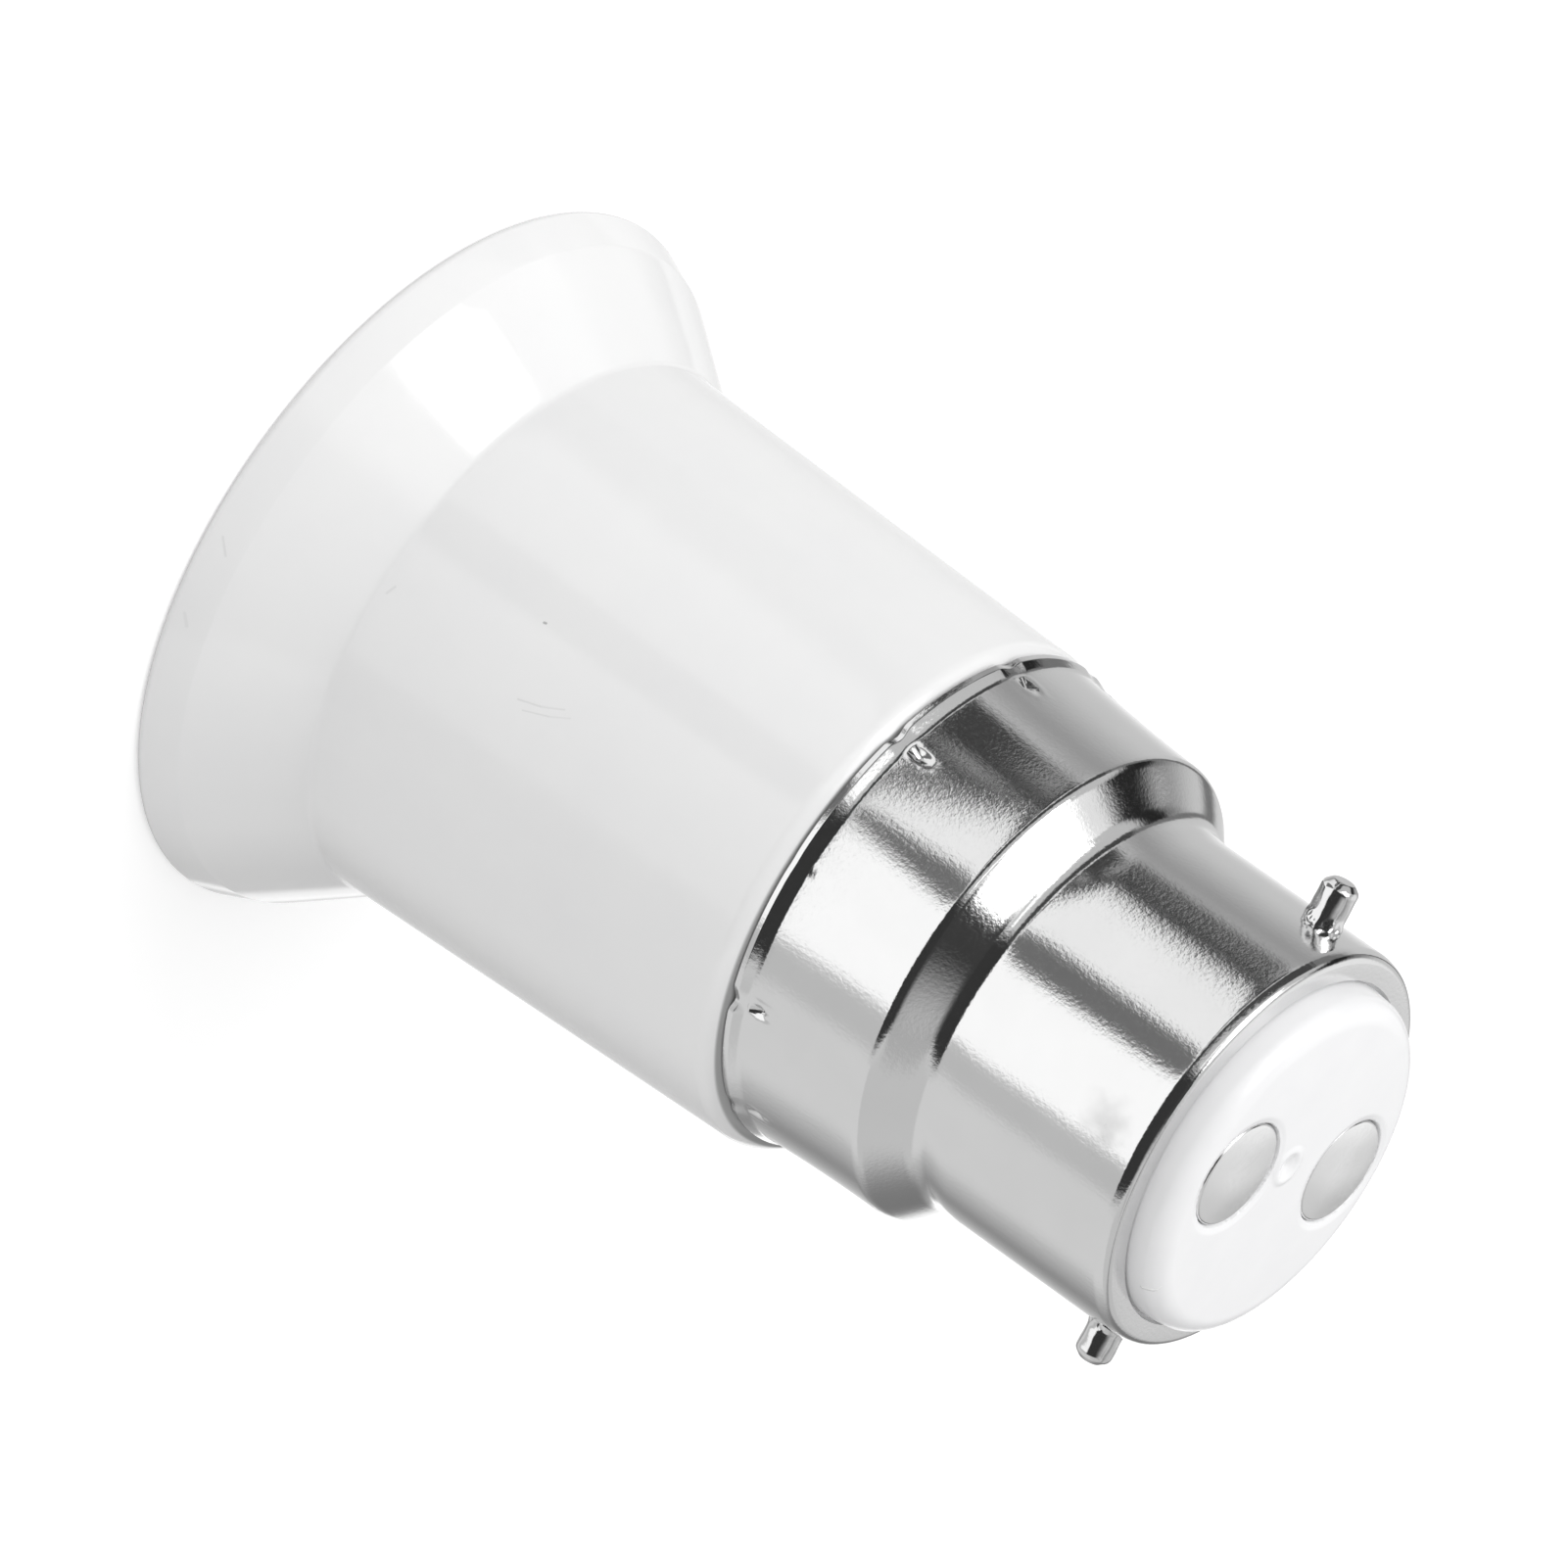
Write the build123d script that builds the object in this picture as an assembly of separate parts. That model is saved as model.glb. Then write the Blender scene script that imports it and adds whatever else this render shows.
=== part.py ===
from build123d import *
import math
import os

# Lamp socket adapter: a bayonet cap at one end and a screw-thread socket for a lamp at the other.
# Millimetres. The origin is the centre of the mouth's rim, on which the adapter stands, and +Z
# runs along its axis to the bayonet end. The pins lie along Y and the end contacts along X.

# Housing: the white moulding with its flared mouth
MOUTH_D = 39.4  # outer diameter of the rim, before its rounding
MOUTH_BAND = 2.2  # height of the band round the rim
BAND_TAPER = 1.9  # how much narrower the band is where the flare starts
NECK_HEIGHT = 7.4  # rim to the crease where the flare meets the body
BODY_WALL = 0.6  # body's far end outside the shell's bore
BODY_TAPER = 1.8  # how much wider the body is at the crease, from its draft
BODY_LENGTH = 33.3  # rim to the end of the body
NECK_BLEND = 0.8  # radius of the blend in the crease
RIM_ROUND = 0.35  # rounding of the rim's edges
BAND_ROUND = 0.65  # rounding where the band meets the flare
BODY_END_ROUND = 1.1  # rounding of the body's far edge
FACE_SHARE = 0.95  # the most of the end face that this rounding takes
MOUTH_WALL = 1.6  # wall of the flare at the rim
FLOOR_DEPTH = 30.0  # rim to the socket's floor
FLOOR_THICK = 2.2
PAD_HEIGHT = 1.0  # raised pad under the centre contact
SPIGOT_WALL = 1.1  # ring that stands inside the cap's skirt
SPIGOT_LEAD = 0.5  # chamfer at the spigot's end

# Bayonet cap: one drawn sheet
SHEET = 0.38
LIP_GAP = 0.15  # body end to the cap's open lip
LIP_FLARE = 0.3  # how far the lip stands out from the skirt
LIP_LENGTH = 0.85
CAP_STEP = 0.75  # skirt's start inside the body's far end
SKIRT_TAPER = 0.8  # how much narrower the skirt is at the shoulder
SKIRT_LENGTH = 8.0  # lip to the shoulder
SHOULDER_LENGTH = 1.95
COLLAR_D = 22.0  # the standard bayonet collar
COLLAR_LENGTH = 12.3
END_RING = 1.4  # width of the turned-in end ring
LIP_BLEND = 0.8
SHOULDER_ROUND = 0.9
SHOULDER_BLEND = 1.4
COLLAR_ROUND = 0.5
SKIRT_GAP = 0.12  # skirt to spigot

# Staking: punch marks that press the skirt into the spigot
STAKES = 11
STAKE_START = 21.8  # angle of the first mark from +X
STAKE_SETBACK = 1.5  # lip to the marks
STAKE_D = 1.2  # ball diameter of the punch
STAKE_DEPTH = 0.3
STAKE_GAP = 0.05

# Bayonet pins
PIN_D = 1.9
PIN_REACH = 2.35  # how far a pin stands out of the collar
PIN_SETBACK = 2.85  # cap end to the pins' line
PIN_TIP = 0.35  # chamfer of the tip
PIN_HEAD_D = 2.7
PIN_HEAD_THICK = 0.3
PIN_GAP = 0.03

# End insulator: a hat-shaped moulding clamped between spigot and end ring
DISC_PROUD = 1.95  # disc face beyond the cap's end
DISC_DRAFT = 0.25
DISC_ROUND = 1.15
DISC_GAP = 0.15  # disc to the end ring's hole
STEM_GAP = 1.02  # stem to the collar, room for the pins' heads
STEM_WALL = 1.1
HEAD_FLANGE_THICK = 0.9
FLANGE_GAP = 0.3  # flanges to the inside of the sheet
FOOT_FLANGE_THICK = 1.0
FOOT_ROOM = 0.15  # foot flange to the start of the shoulder
END_WALL = 2.6  # disc face to the roof of the stem's bore
DIMPLE_D = 1.9  # gate mark in the middle of the disc
DIMPLE_DEPTH = 0.4

# End contacts: domed rivets
CONTACT_EDGE = 1.7  # disc edge to a contact's head
CONTACT_HEAD_D = 5.6
CONTACT_HEAD_THICK = 0.5
CONTACT_CROWN = 0.3
CONTACT_SHANK_D = 2.2
CONTACT_TAIL_D = 3.4
CONTACT_TAIL_THICK = 0.45
CONTACT_SUNK = 0.35  # head's edge below the disc face
RECESS_GAP = 0.1
RECESS_LIP = 0.35  # width of the raised lip round a contact
RECESS_LIP_HEIGHT = 0.15

# Screw shell: drawn sheet, its knuckle thread pressed between the two diameters
SHELL_D = 26.9
SHELL_SHEET = 0.3
SHELL_GAP = 0.15  # shell to the housing's bore
SHELL_START = 8.9  # rim to the shell's open edge
SHELL_THREAD = 15.8  # length of the threaded stretch
SHELL_STEP = 1.1  # height of the step down to the plain base
SHELL_INSET = 1.05  # base inside the threaded stretch
SHELL_RING = 3.9  # width of the base's ring
SHELL_BEND = 0.9

# Rivets through the floor and the tags on them
RIVET_D = 1.8
RIVET_HEAD_D = 2.8
RIVET_HEAD_THICK = 0.7
RIVET_HEAD_ROUND = 0.56
RIVET_TAIL_D = 2.6
RIVET_TAIL_THICK = 0.5
RIVET_GAP = 0.02
TAG_SHEET = 0.4
TAG_WIDTH = 2.8
TAG_SPACE = 0.3  # a contact's tail to the solder on its tag
FLOOR_TAG_REACH = 3.6  # rivet axis to the soldered end of its tag

# Centre contact: a spring tongue of strip
STRIP = 0.4
TONGUE_WIDTH = 5.6
TONGUE_FOOT = 2.3  # rivet to the rounded end of the foot
FOOT_EDGE = 0.2  # foot's end inside the pad
TONGUE_SPACE = 0.4  # rivet head to the bend, the hinge line of the tongue
TONGUE_RUN = 4.4  # bend to the knee, along X
TONGUE_RISE = 3.0  # height of the knee over the foot
TONGUE_TIP = 2.4  # knee to the free end, along X
TONGUE_DROP = 0.9  # how far the free end turns back
TONGUE_BLEND = 0.8
TONGUE_KNEE = 1.0
PAD_EDGE = 1.0  # pad's edge inside the shell's base hole

# Leads inside the stem
CORE_D = 0.8
SLEEVE_D = 1.6
SLEEVE_GAP = 0.04
STRIPPED = 2.0  # bare length at each end
LEAD_STRAIGHT = 3.4  # straight run at each end
SOLDER_D = 2.4
SOLDER_HEIGHT = 1.1
SOLDER_TOP_D = 1.3
ARC_SHARE = 0.45  # radius of a bend, by its shorter run
# Between its straight ends a lead passes these points: x, y and the share of its way down
LIVE_BENDS = [(5.6, 3.0, 0.31), (3.4, 4.4, 0.67)]
NEUTRAL_BENDS = [(-5.4, -4.0, 0.28), (-4.0, -4.4, 0.64)]

# Sizes and places that follow from the ones above
BORE_D = SHELL_D + 2 * SHELL_GAP
BODY_END_D = BORE_D + 2 * BODY_WALL
NECK_D = BODY_END_D + BODY_TAPER
SKIRT_D = BODY_END_D - 2 * CAP_STEP
SKIRT_END_D = SKIRT_D - SKIRT_TAPER
END_HOLE_D = COLLAR_D - 2 * END_RING
STEM_D = COLLAR_D - 2 * (SHEET + STEM_GAP)
STEM_BORE_D = STEM_D - 2 * STEM_WALL
DISC_D = END_HOLE_D - 2 * DISC_GAP
CONTACT_X = DISC_D / 2 - CONTACT_EDGE - CONTACT_HEAD_D / 2
CONTACT_TAG_REACH = CONTACT_TAIL_D / 2 + TAG_SPACE + SOLDER_D / 2
SHELL_BASE_D = SHELL_D - 2 * SHELL_INSET
SHELL_BASE_HOLE_D = SHELL_BASE_D - 2 * SHELL_RING
SHELL_RIVET_RADIUS = (SHELL_BASE_D / 2 - SHELL_BEND + SHELL_BASE_HOLE_D / 2) / 2
PAD_RADIUS = SHELL_BASE_HOLE_D / 2 - PAD_EDGE
TONGUE_RIVET_X = PAD_RADIUS - FOOT_EDGE - TONGUE_FOOT
BEND_X = TONGUE_RIVET_X - RIVET_HEAD_D / 2 - TONGUE_SPACE
CAP_LIP_Z = BODY_LENGTH + LIP_GAP
SHOULDER_Z = CAP_LIP_Z + SKIRT_LENGTH
COLLAR_Z = SHOULDER_Z + SHOULDER_LENGTH
CAP_END_Z = COLLAR_Z + COLLAR_LENGTH
SPIGOT_END_Z = SHOULDER_Z - FOOT_ROOM - FOOT_FLANGE_THICK
FLOOR_BACK_Z = FLOOR_DEPTH + FLOOR_THICK
PAD_Z = FLOOR_DEPTH - PAD_HEIGHT
STEP_Z = SHELL_START + SHELL_THREAD
BASE_Z = STEP_Z + SHELL_STEP
PIN_Z = CAP_END_Z - PIN_SETBACK
DISC_FACE_Z = CAP_END_Z + DISC_PROUD
ROOF_Z = DISC_FACE_Z - END_WALL
RECESS_Z = DISC_FACE_Z - CONTACT_SUNK - CONTACT_HEAD_THICK
STAKE_Z = CAP_LIP_Z + STAKE_SETBACK


def skirt_radius(z):
    """Outer radius of the skirt's straight wall at height z."""
    along = (z - CAP_LIP_Z - LIP_LENGTH) / (SKIRT_LENGTH - LIP_LENGTH)
    return (SKIRT_D + (SKIRT_END_D - SKIRT_D) * along) / 2


def spigot_radius(z):
    """Radius of the spigot at height z: it follows the inside of the skirt."""
    return skirt_radius(z) - SHEET - SKIRT_GAP


def turned(*corners):
    """Turn a closed outline about Z. A corner is its radius from the axis, height and rounding."""
    with BuildPart() as body:
        with BuildSketch(Plane.XZ):
            with BuildLine():
                points = [(radius, height) for radius, height, _ in corners]
                FilletPolyline(*points, radius=[corner[2] for corner in corners], close=True)
            make_face()
        revolve(axis=Axis.Z)
    return body.part


def disc(diameter, low, high, x=0.0, y=0.0):
    """A plain round slug between two heights."""
    slug = Cylinder(diameter / 2, high - low, align=(Align.CENTER, Align.CENTER, Align.MIN))
    return Pos(x, y, low) * slug


def stake_balls(diameter, depth):
    """The ring of balls with which the punch marks are pressed in, each with its pole inwards."""
    out = skirt_radius(STAKE_Z) - depth + diameter / 2
    ring = []
    for number in range(STAKES):
        turn = Rot(0, 0, STAKE_START + number * 360 / STAKES)
        ring.append(turn * Pos(out, 0, STAKE_Z) * Rot(0, 90, 0) * Sphere(diameter / 2))
    return ring


def housing():
    """The moulding: flared mouth, drafted body, floor with its pad, and spigot."""
    spigot_bore = spigot_radius(SPIGOT_END_Z) - SPIGOT_WALL
    band_top = (MOUTH_D - BAND_TAPER) / 2
    outer_slope = (band_top - NECK_D / 2) / (NECK_HEIGHT - MOUTH_BAND)
    inner_mouth = MOUTH_D / 2 - MOUTH_WALL
    bore_start = (inner_mouth - BORE_D / 2) / outer_slope + RIM_ROUND
    end_face = BODY_END_D / 2 - spigot_radius(BODY_LENGTH)
    shape = turned(
        (MOUTH_D / 2, 0, RIM_ROUND),
        (band_top, MOUTH_BAND, BAND_ROUND),
        (NECK_D / 2, NECK_HEIGHT, NECK_BLEND),
        (BODY_END_D / 2, BODY_LENGTH, min(BODY_END_ROUND, FACE_SHARE * end_face)),
        (spigot_radius(BODY_LENGTH), BODY_LENGTH, 0),
        (spigot_radius(SPIGOT_END_Z - SPIGOT_LEAD), SPIGOT_END_Z - SPIGOT_LEAD, 0),
        (spigot_radius(SPIGOT_END_Z) - SPIGOT_LEAD, SPIGOT_END_Z, 0),
        (spigot_bore, SPIGOT_END_Z, 0),
        (spigot_bore, FLOOR_BACK_Z, 0),
        (0, FLOOR_BACK_Z, 0),
        (0, PAD_Z, 0),
        (PAD_RADIUS, PAD_Z, 0),
        (PAD_RADIUS, FLOOR_DEPTH, 0),
        (SHELL_BASE_D / 2 + SHELL_GAP, FLOOR_DEPTH, 0),
        (SHELL_BASE_D / 2 + SHELL_GAP, BASE_Z, 0),
        (BORE_D / 2, STEP_Z, 0),
        (BORE_D / 2, bore_start, NECK_BLEND + MOUTH_WALL),
        (inner_mouth, 0, RIM_ROUND),
    )
    for x, y in ((0, SHELL_RIVET_RADIUS), (0, -SHELL_RIVET_RADIUS), (TONGUE_RIVET_X, 0)):
        shape -= disc(RIVET_D + 2 * RIVET_GAP, PAD_Z, FLOOR_BACK_Z, x, y)
    wider = STAKE_D + 2 * (SHEET + STAKE_GAP)
    return shape - stake_balls(wider, STAKE_DEPTH + SHEET + STAKE_GAP)


def bayonet_cap():
    """The drawn cap: flared lip, staked skirt, shoulder, collar and turned-in end ring."""
    outline = [
        (SKIRT_D / 2 + LIP_FLARE, CAP_LIP_Z),
        (SKIRT_D / 2, CAP_LIP_Z + LIP_LENGTH),
        (SKIRT_END_D / 2, SHOULDER_Z),
        (COLLAR_D / 2, COLLAR_Z),
        (COLLAR_D / 2, CAP_END_Z),
        (END_HOLE_D / 2, CAP_END_Z),
    ]
    rounds = [LIP_BLEND, SHOULDER_ROUND, SHOULDER_BLEND, COLLAR_ROUND]
    with BuildPart() as body:
        with BuildSketch(Plane.XZ):
            with BuildLine():
                FilletPolyline(*outline, radius=rounds)
                offset(amount=SHEET, side=Side.LEFT, closed=True)
            make_face()
        revolve(axis=Axis.Z)
    pressed_in = stake_balls(STAKE_D + 2 * SHEET, STAKE_DEPTH + SHEET)
    inside = disc(2 * skirt_radius(STAKE_Z) - SHEET, STAKE_Z - STAKE_D, STAKE_Z + STAKE_D)
    shape = body.part + [ball & inside for ball in pressed_in]
    shape -= stake_balls(STAKE_D, STAKE_DEPTH)
    for side in (1, -1):
        shape -= pin_cylinder(side, PIN_D / 2 + PIN_GAP, COLLAR_D / 2 - 2 * SHEET, 2 * SHEET)
    return shape


def pin_cylinder(side, radius, start, length):
    """A round along the pins' line, from a distance off the axis outwards."""
    rod = Cylinder(radius, length, align=(Align.CENTER, Align.CENTER, Align.MIN))
    return Pos(0, side * start, PIN_Z) * Rot(-90 * side, 0, 0) * rod


def bayonet_pin(side):
    """A pin with a flat inner head and a chamfered tip."""
    inner_wall = COLLAR_D / 2 - SHEET
    sagitta = inner_wall - math.sqrt(inner_wall**2 - PIN_HEAD_D**2 / 4)
    head_face = inner_wall - sagitta - PIN_GAP
    length = COLLAR_D / 2 + PIN_REACH - head_face
    shank = pin_cylinder(side, PIN_D / 2, head_face, length)
    tip = shank.faces().sort_by(Axis.Y)[-1 if side > 0 else 0]
    shank = chamfer(tip.edges(), PIN_TIP)
    return shank + pin_cylinder(side, PIN_HEAD_D / 2, head_face - PIN_HEAD_THICK, PIN_HEAD_THICK)


def end_insulator():
    """The hat-shaped insulator: disc, flange under the end ring, stem and foot flange."""
    ring_face = CAP_END_Z - SHEET
    flange_face = ring_face - HEAD_FLANGE_THICK
    foot_top = SPIGOT_END_Z + FOOT_FLANGE_THICK
    foot_radius = skirt_radius(foot_top) - SHEET - FLANGE_GAP
    flange_radius = COLLAR_D / 2 - COLLAR_ROUND - FLANGE_GAP / 2
    shape = turned(
        (0, DISC_FACE_Z, 0),
        (DISC_D / 2 - DISC_DRAFT, DISC_FACE_Z, DISC_ROUND),
        (DISC_D / 2, ring_face, 0),
        (flange_radius, ring_face, 0),
        (flange_radius, flange_face, 0),
        (STEM_D / 2, flange_face, 0),
        (STEM_D / 2, foot_top, 0),
        (foot_radius, foot_top, 0),
        (foot_radius, SPIGOT_END_Z, 0),
        (STEM_BORE_D / 2, SPIGOT_END_Z, 0),
        (STEM_BORE_D / 2, ROOF_Z, 0),
        (0, ROOF_Z, 0),
    )
    lip_d = CONTACT_HEAD_D + 2 * (RECESS_GAP + RECESS_LIP)
    for x in (CONTACT_X, -CONTACT_X):
        lip = disc(lip_d, RECESS_Z, DISC_FACE_Z + RECESS_LIP_HEIGHT, x)
        shape += fillet(lip.edges().sort_by(Axis.Z)[-1], RECESS_LIP_HEIGHT)
    for x in (CONTACT_X, -CONTACT_X):
        shape -= disc(CONTACT_HEAD_D + 2 * RECESS_GAP, RECESS_Z, DISC_FACE_Z + 1, x)
        shape -= disc(CONTACT_SHANK_D + 2 * RIVET_GAP, ROOF_Z, RECESS_Z, x)
    ball = (DIMPLE_D**2 / 4 + DIMPLE_DEPTH**2) / (2 * DIMPLE_DEPTH)
    return shape - Pos(0, 0, DISC_FACE_Z + ball - DIMPLE_DEPTH) * Sphere(ball)


def end_contact(side):
    """A contact rivet: domed head in its recess, shank, and the tail clenched on its tag."""
    crown = (CONTACT_HEAD_D**2 / 4 + CONTACT_CROWN**2) / (2 * CONTACT_CROWN)
    edge_z = RECESS_Z + CONTACT_HEAD_THICK
    blank = disc(CONTACT_HEAD_D, RECESS_Z, edge_z + CONTACT_CROWN)
    head = blank & (Pos(0, 0, edge_z + CONTACT_CROWN - crown) * Sphere(crown))
    shank = disc(CONTACT_SHANK_D, ROOF_Z - TAG_SHEET, RECESS_Z)
    tail = disc(CONTACT_TAIL_D, ROOF_Z - TAG_SHEET - CONTACT_TAIL_THICK, ROOF_Z - TAG_SHEET)
    tail = fillet(tail.edges().sort_by(Axis.Z)[0], CONTACT_TAIL_THICK / 2)
    return Pos(side * CONTACT_X, 0, 0) * (head + shank + tail)


def tag(hole_d, reach, low):
    """A solder tag: a strip with round ends, its hole at the origin and its reach along +X."""
    strip = SlotCenterToCenter(reach, TAG_WIDTH)
    plate = extrude(Pos(reach / 2, 0, low) * strip, TAG_SHEET)
    return plate - disc(hole_d + 2 * RIVET_GAP, low, low + TAG_SHEET)


def contact_tag(side):
    """The tag under a contact rivet, turned square to the contacts' line."""
    place = Pos(side * CONTACT_X, 0, 0) * Rot(0, 0, 90 * side)
    return place * tag(CONTACT_SHANK_D, CONTACT_TAG_REACH, ROOF_Z - TAG_SHEET)


def shell_tag():
    """The tag under the second shell rivet, reaching inwards."""
    place = Pos(0, -SHELL_RIVET_RADIUS, 0) * Rot(0, 0, 90)
    return place * tag(RIVET_D, FLOOR_TAG_REACH, FLOOR_BACK_Z)


def centre_tag():
    """The tag under the tongue's rivet, reaching past the axis."""
    place = Pos(TONGUE_RIVET_X, 0, 0) * Rot(0, 0, 180)
    return place * tag(RIVET_D, FLOOR_TAG_REACH, FLOOR_BACK_Z)


def screw_shell():
    """The drawn shell: threaded stretch, step, plain base and the ring riveted to the floor."""
    with BuildPart() as body:
        with BuildSketch(Plane.XZ):
            with BuildLine():
                FilletPolyline(
                    (SHELL_D / 2, SHELL_START),
                    (SHELL_D / 2, STEP_Z),
                    (SHELL_BASE_D / 2, BASE_Z),
                    (SHELL_BASE_D / 2, FLOOR_DEPTH),
                    (SHELL_BASE_HOLE_D / 2, FLOOR_DEPTH),
                    radius=[SHELL_BEND / 2, SHELL_BEND / 2, SHELL_BEND],
                )
                offset(amount=SHELL_SHEET, side=Side.LEFT, closed=True)
            make_face()
        revolve(axis=Axis.Z)
    shape = body.part
    for y in (SHELL_RIVET_RADIUS, -SHELL_RIVET_RADIUS):
        shape -= disc(RIVET_D + 2 * RIVET_GAP, FLOOR_DEPTH - SHELL_SHEET, FLOOR_DEPTH, 0, y)
    return shape


def floor_rivet(x, y, head_z, tail_z):
    """A rivet with a domed head in the socket and a clenched tail behind the floor."""
    head = disc(RIVET_HEAD_D, head_z - RIVET_HEAD_THICK, head_z, x, y)
    head = fillet(head.edges().sort_by(Axis.Z)[0], RIVET_HEAD_ROUND)
    tail = disc(RIVET_TAIL_D, tail_z, tail_z + RIVET_TAIL_THICK, x, y)
    tail = fillet(tail.edges().sort_by(Axis.Z)[-1], RIVET_TAIL_THICK / 2)
    return head + disc(RIVET_D, head_z, tail_z, x, y) + tail


def centre_contact():
    """The spring tongue: riveted foot, rising leaf, knee and turned-back free end."""
    foot_end = TONGUE_RIVET_X + TONGUE_FOOT
    knee = BEND_X - TONGUE_RUN
    knee_z = PAD_Z - TONGUE_RISE
    with BuildPart() as strip:
        with BuildSketch(Plane.XZ.offset(-TONGUE_WIDTH / 2)):
            with BuildLine():
                FilletPolyline(
                    (foot_end, PAD_Z),
                    (BEND_X, PAD_Z),
                    (knee, knee_z),
                    (knee - TONGUE_TIP, knee_z + TONGUE_DROP),
                    radius=[TONGUE_BLEND, TONGUE_KNEE],
                )
                offset(amount=STRIP, side=Side.LEFT, closed=True)
            make_face()
        extrude(amount=TONGUE_WIDTH)
    middle = (foot_end + knee - TONGUE_TIP) / 2
    length = foot_end - knee + TONGUE_TIP
    plan = Pos(middle, 0, knee_z - TONGUE_RISE) * SlotOverall(length, TONGUE_WIDTH)
    shape = strip.part & extrude(plan, 3 * TONGUE_RISE)
    return shape - disc(RIVET_D + 2 * RIVET_GAP, PAD_Z - STRIP, PAD_Z, TONGUE_RIVET_X)


def lead_route(start, end, bends, trim):
    """A lead's centre line from tag to tag, with arcs as large as its runs allow."""
    high = ROOF_Z - TAG_SHEET
    low = FLOOR_BACK_Z + TAG_SHEET
    top = high - LEAD_STRAIGHT
    bottom = low + LEAD_STRAIGHT
    corners = [Vector(*start, high - trim), Vector(*start, top)]
    corners += [Vector(x, y, top + (bottom - top) * share) for x, y, share in bends]
    corners += [Vector(*end, bottom), Vector(*end, low + trim)]
    radii = []
    for before, here, after in zip(corners, corners[1:], corners[2:]):
        shorter = min((here - before).length, (after - here).length)
        half_turn = math.radians((here - before).get_angle(after - here)) / 2
        radii.append(ARC_SHARE * shorter / math.tan(half_turn))
    return FilletPolyline(*corners, radius=radii)


def along(route, diameter):
    """A round swept along a lead's route."""
    return sweep(Plane(origin=route @ 0, z_dir=route % 0) * Circle(diameter / 2), path=route)


def lead(start, end, bends):
    """A conductor and its sleeve."""
    bare = lead_route(start, end, bends, 0)
    covered = lead_route(start, end, bends, STRIPPED)
    bore = along(bare, CORE_D + 2 * SLEEVE_GAP)
    return along(bare, CORE_D), along(covered, SLEEVE_D) - bore


def solder(x, y, face_z, side):
    """A fillet of solder round a conductor's end; side is the way it stands off its tag."""
    cone = turned(
        (CORE_D / 2, 0, 0),
        (SOLDER_D / 2, 0, 0),
        (SOLDER_TOP_D / 2, SOLDER_HEIGHT, SOLDER_HEIGHT / 4),
        (CORE_D / 2, SOLDER_HEIGHT, 0),
    )
    return Pos(x, y, face_z) * (cone if side > 0 else Rot(180, 0, 0) * cone)


def write(name, shape):
    """One file for each piece."""
    export_step(shape, f"parts/{name}.step")


def main():
    os.makedirs("parts", exist_ok=True)
    write("housing", housing())
    write("bayonet_cap", bayonet_cap())
    write("bayonet_pin_a", bayonet_pin(1))
    write("bayonet_pin_b", bayonet_pin(-1))
    write("end_insulator", end_insulator())
    write("end_contact_a", end_contact(1))
    write("end_contact_b", end_contact(-1))
    write("contact_tag_a", contact_tag(1))
    write("contact_tag_b", contact_tag(-1))

    shell_face = FLOOR_DEPTH - SHELL_SHEET
    on_tag = FLOOR_BACK_Z + TAG_SHEET
    write("screw_shell", screw_shell())
    write("shell_rivet_a", floor_rivet(0, SHELL_RIVET_RADIUS, shell_face, FLOOR_BACK_Z))
    write("shell_rivet_b", floor_rivet(0, -SHELL_RIVET_RADIUS, shell_face, on_tag))
    write("shell_tag", shell_tag())
    write("centre_contact", centre_contact())
    write("centre_rivet", floor_rivet(TONGUE_RIVET_X, 0, PAD_Z - STRIP, on_tag))
    write("centre_tag", centre_tag())

    live_end = (CONTACT_X, CONTACT_TAG_REACH)
    live_floor = (TONGUE_RIVET_X - FLOOR_TAG_REACH, 0)
    neutral_end = (-CONTACT_X, -CONTACT_TAG_REACH)
    neutral_floor = (0, FLOOR_TAG_REACH - SHELL_RIVET_RADIUS)
    live_wire, live_sleeve = lead(live_end, live_floor, LIVE_BENDS)
    neutral_wire, neutral_sleeve = lead(neutral_end, neutral_floor, NEUTRAL_BENDS)
    write("live_wire", live_wire)
    write("live_sleeve", live_sleeve)
    write("neutral_wire", neutral_wire)
    write("neutral_sleeve", neutral_sleeve)
    write("solder_live_end", solder(*live_end, ROOF_Z - TAG_SHEET, -1))
    write("solder_live_floor", solder(*live_floor, on_tag, 1))
    write("solder_neutral_end", solder(*neutral_end, ROOF_Z - TAG_SHEET, -1))
    write("solder_neutral_floor", solder(*neutral_floor, on_tag, 1))


main()
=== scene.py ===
import math

import bmesh
import bpy
import numpy as np
from mathutils import Matrix, Vector

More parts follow.
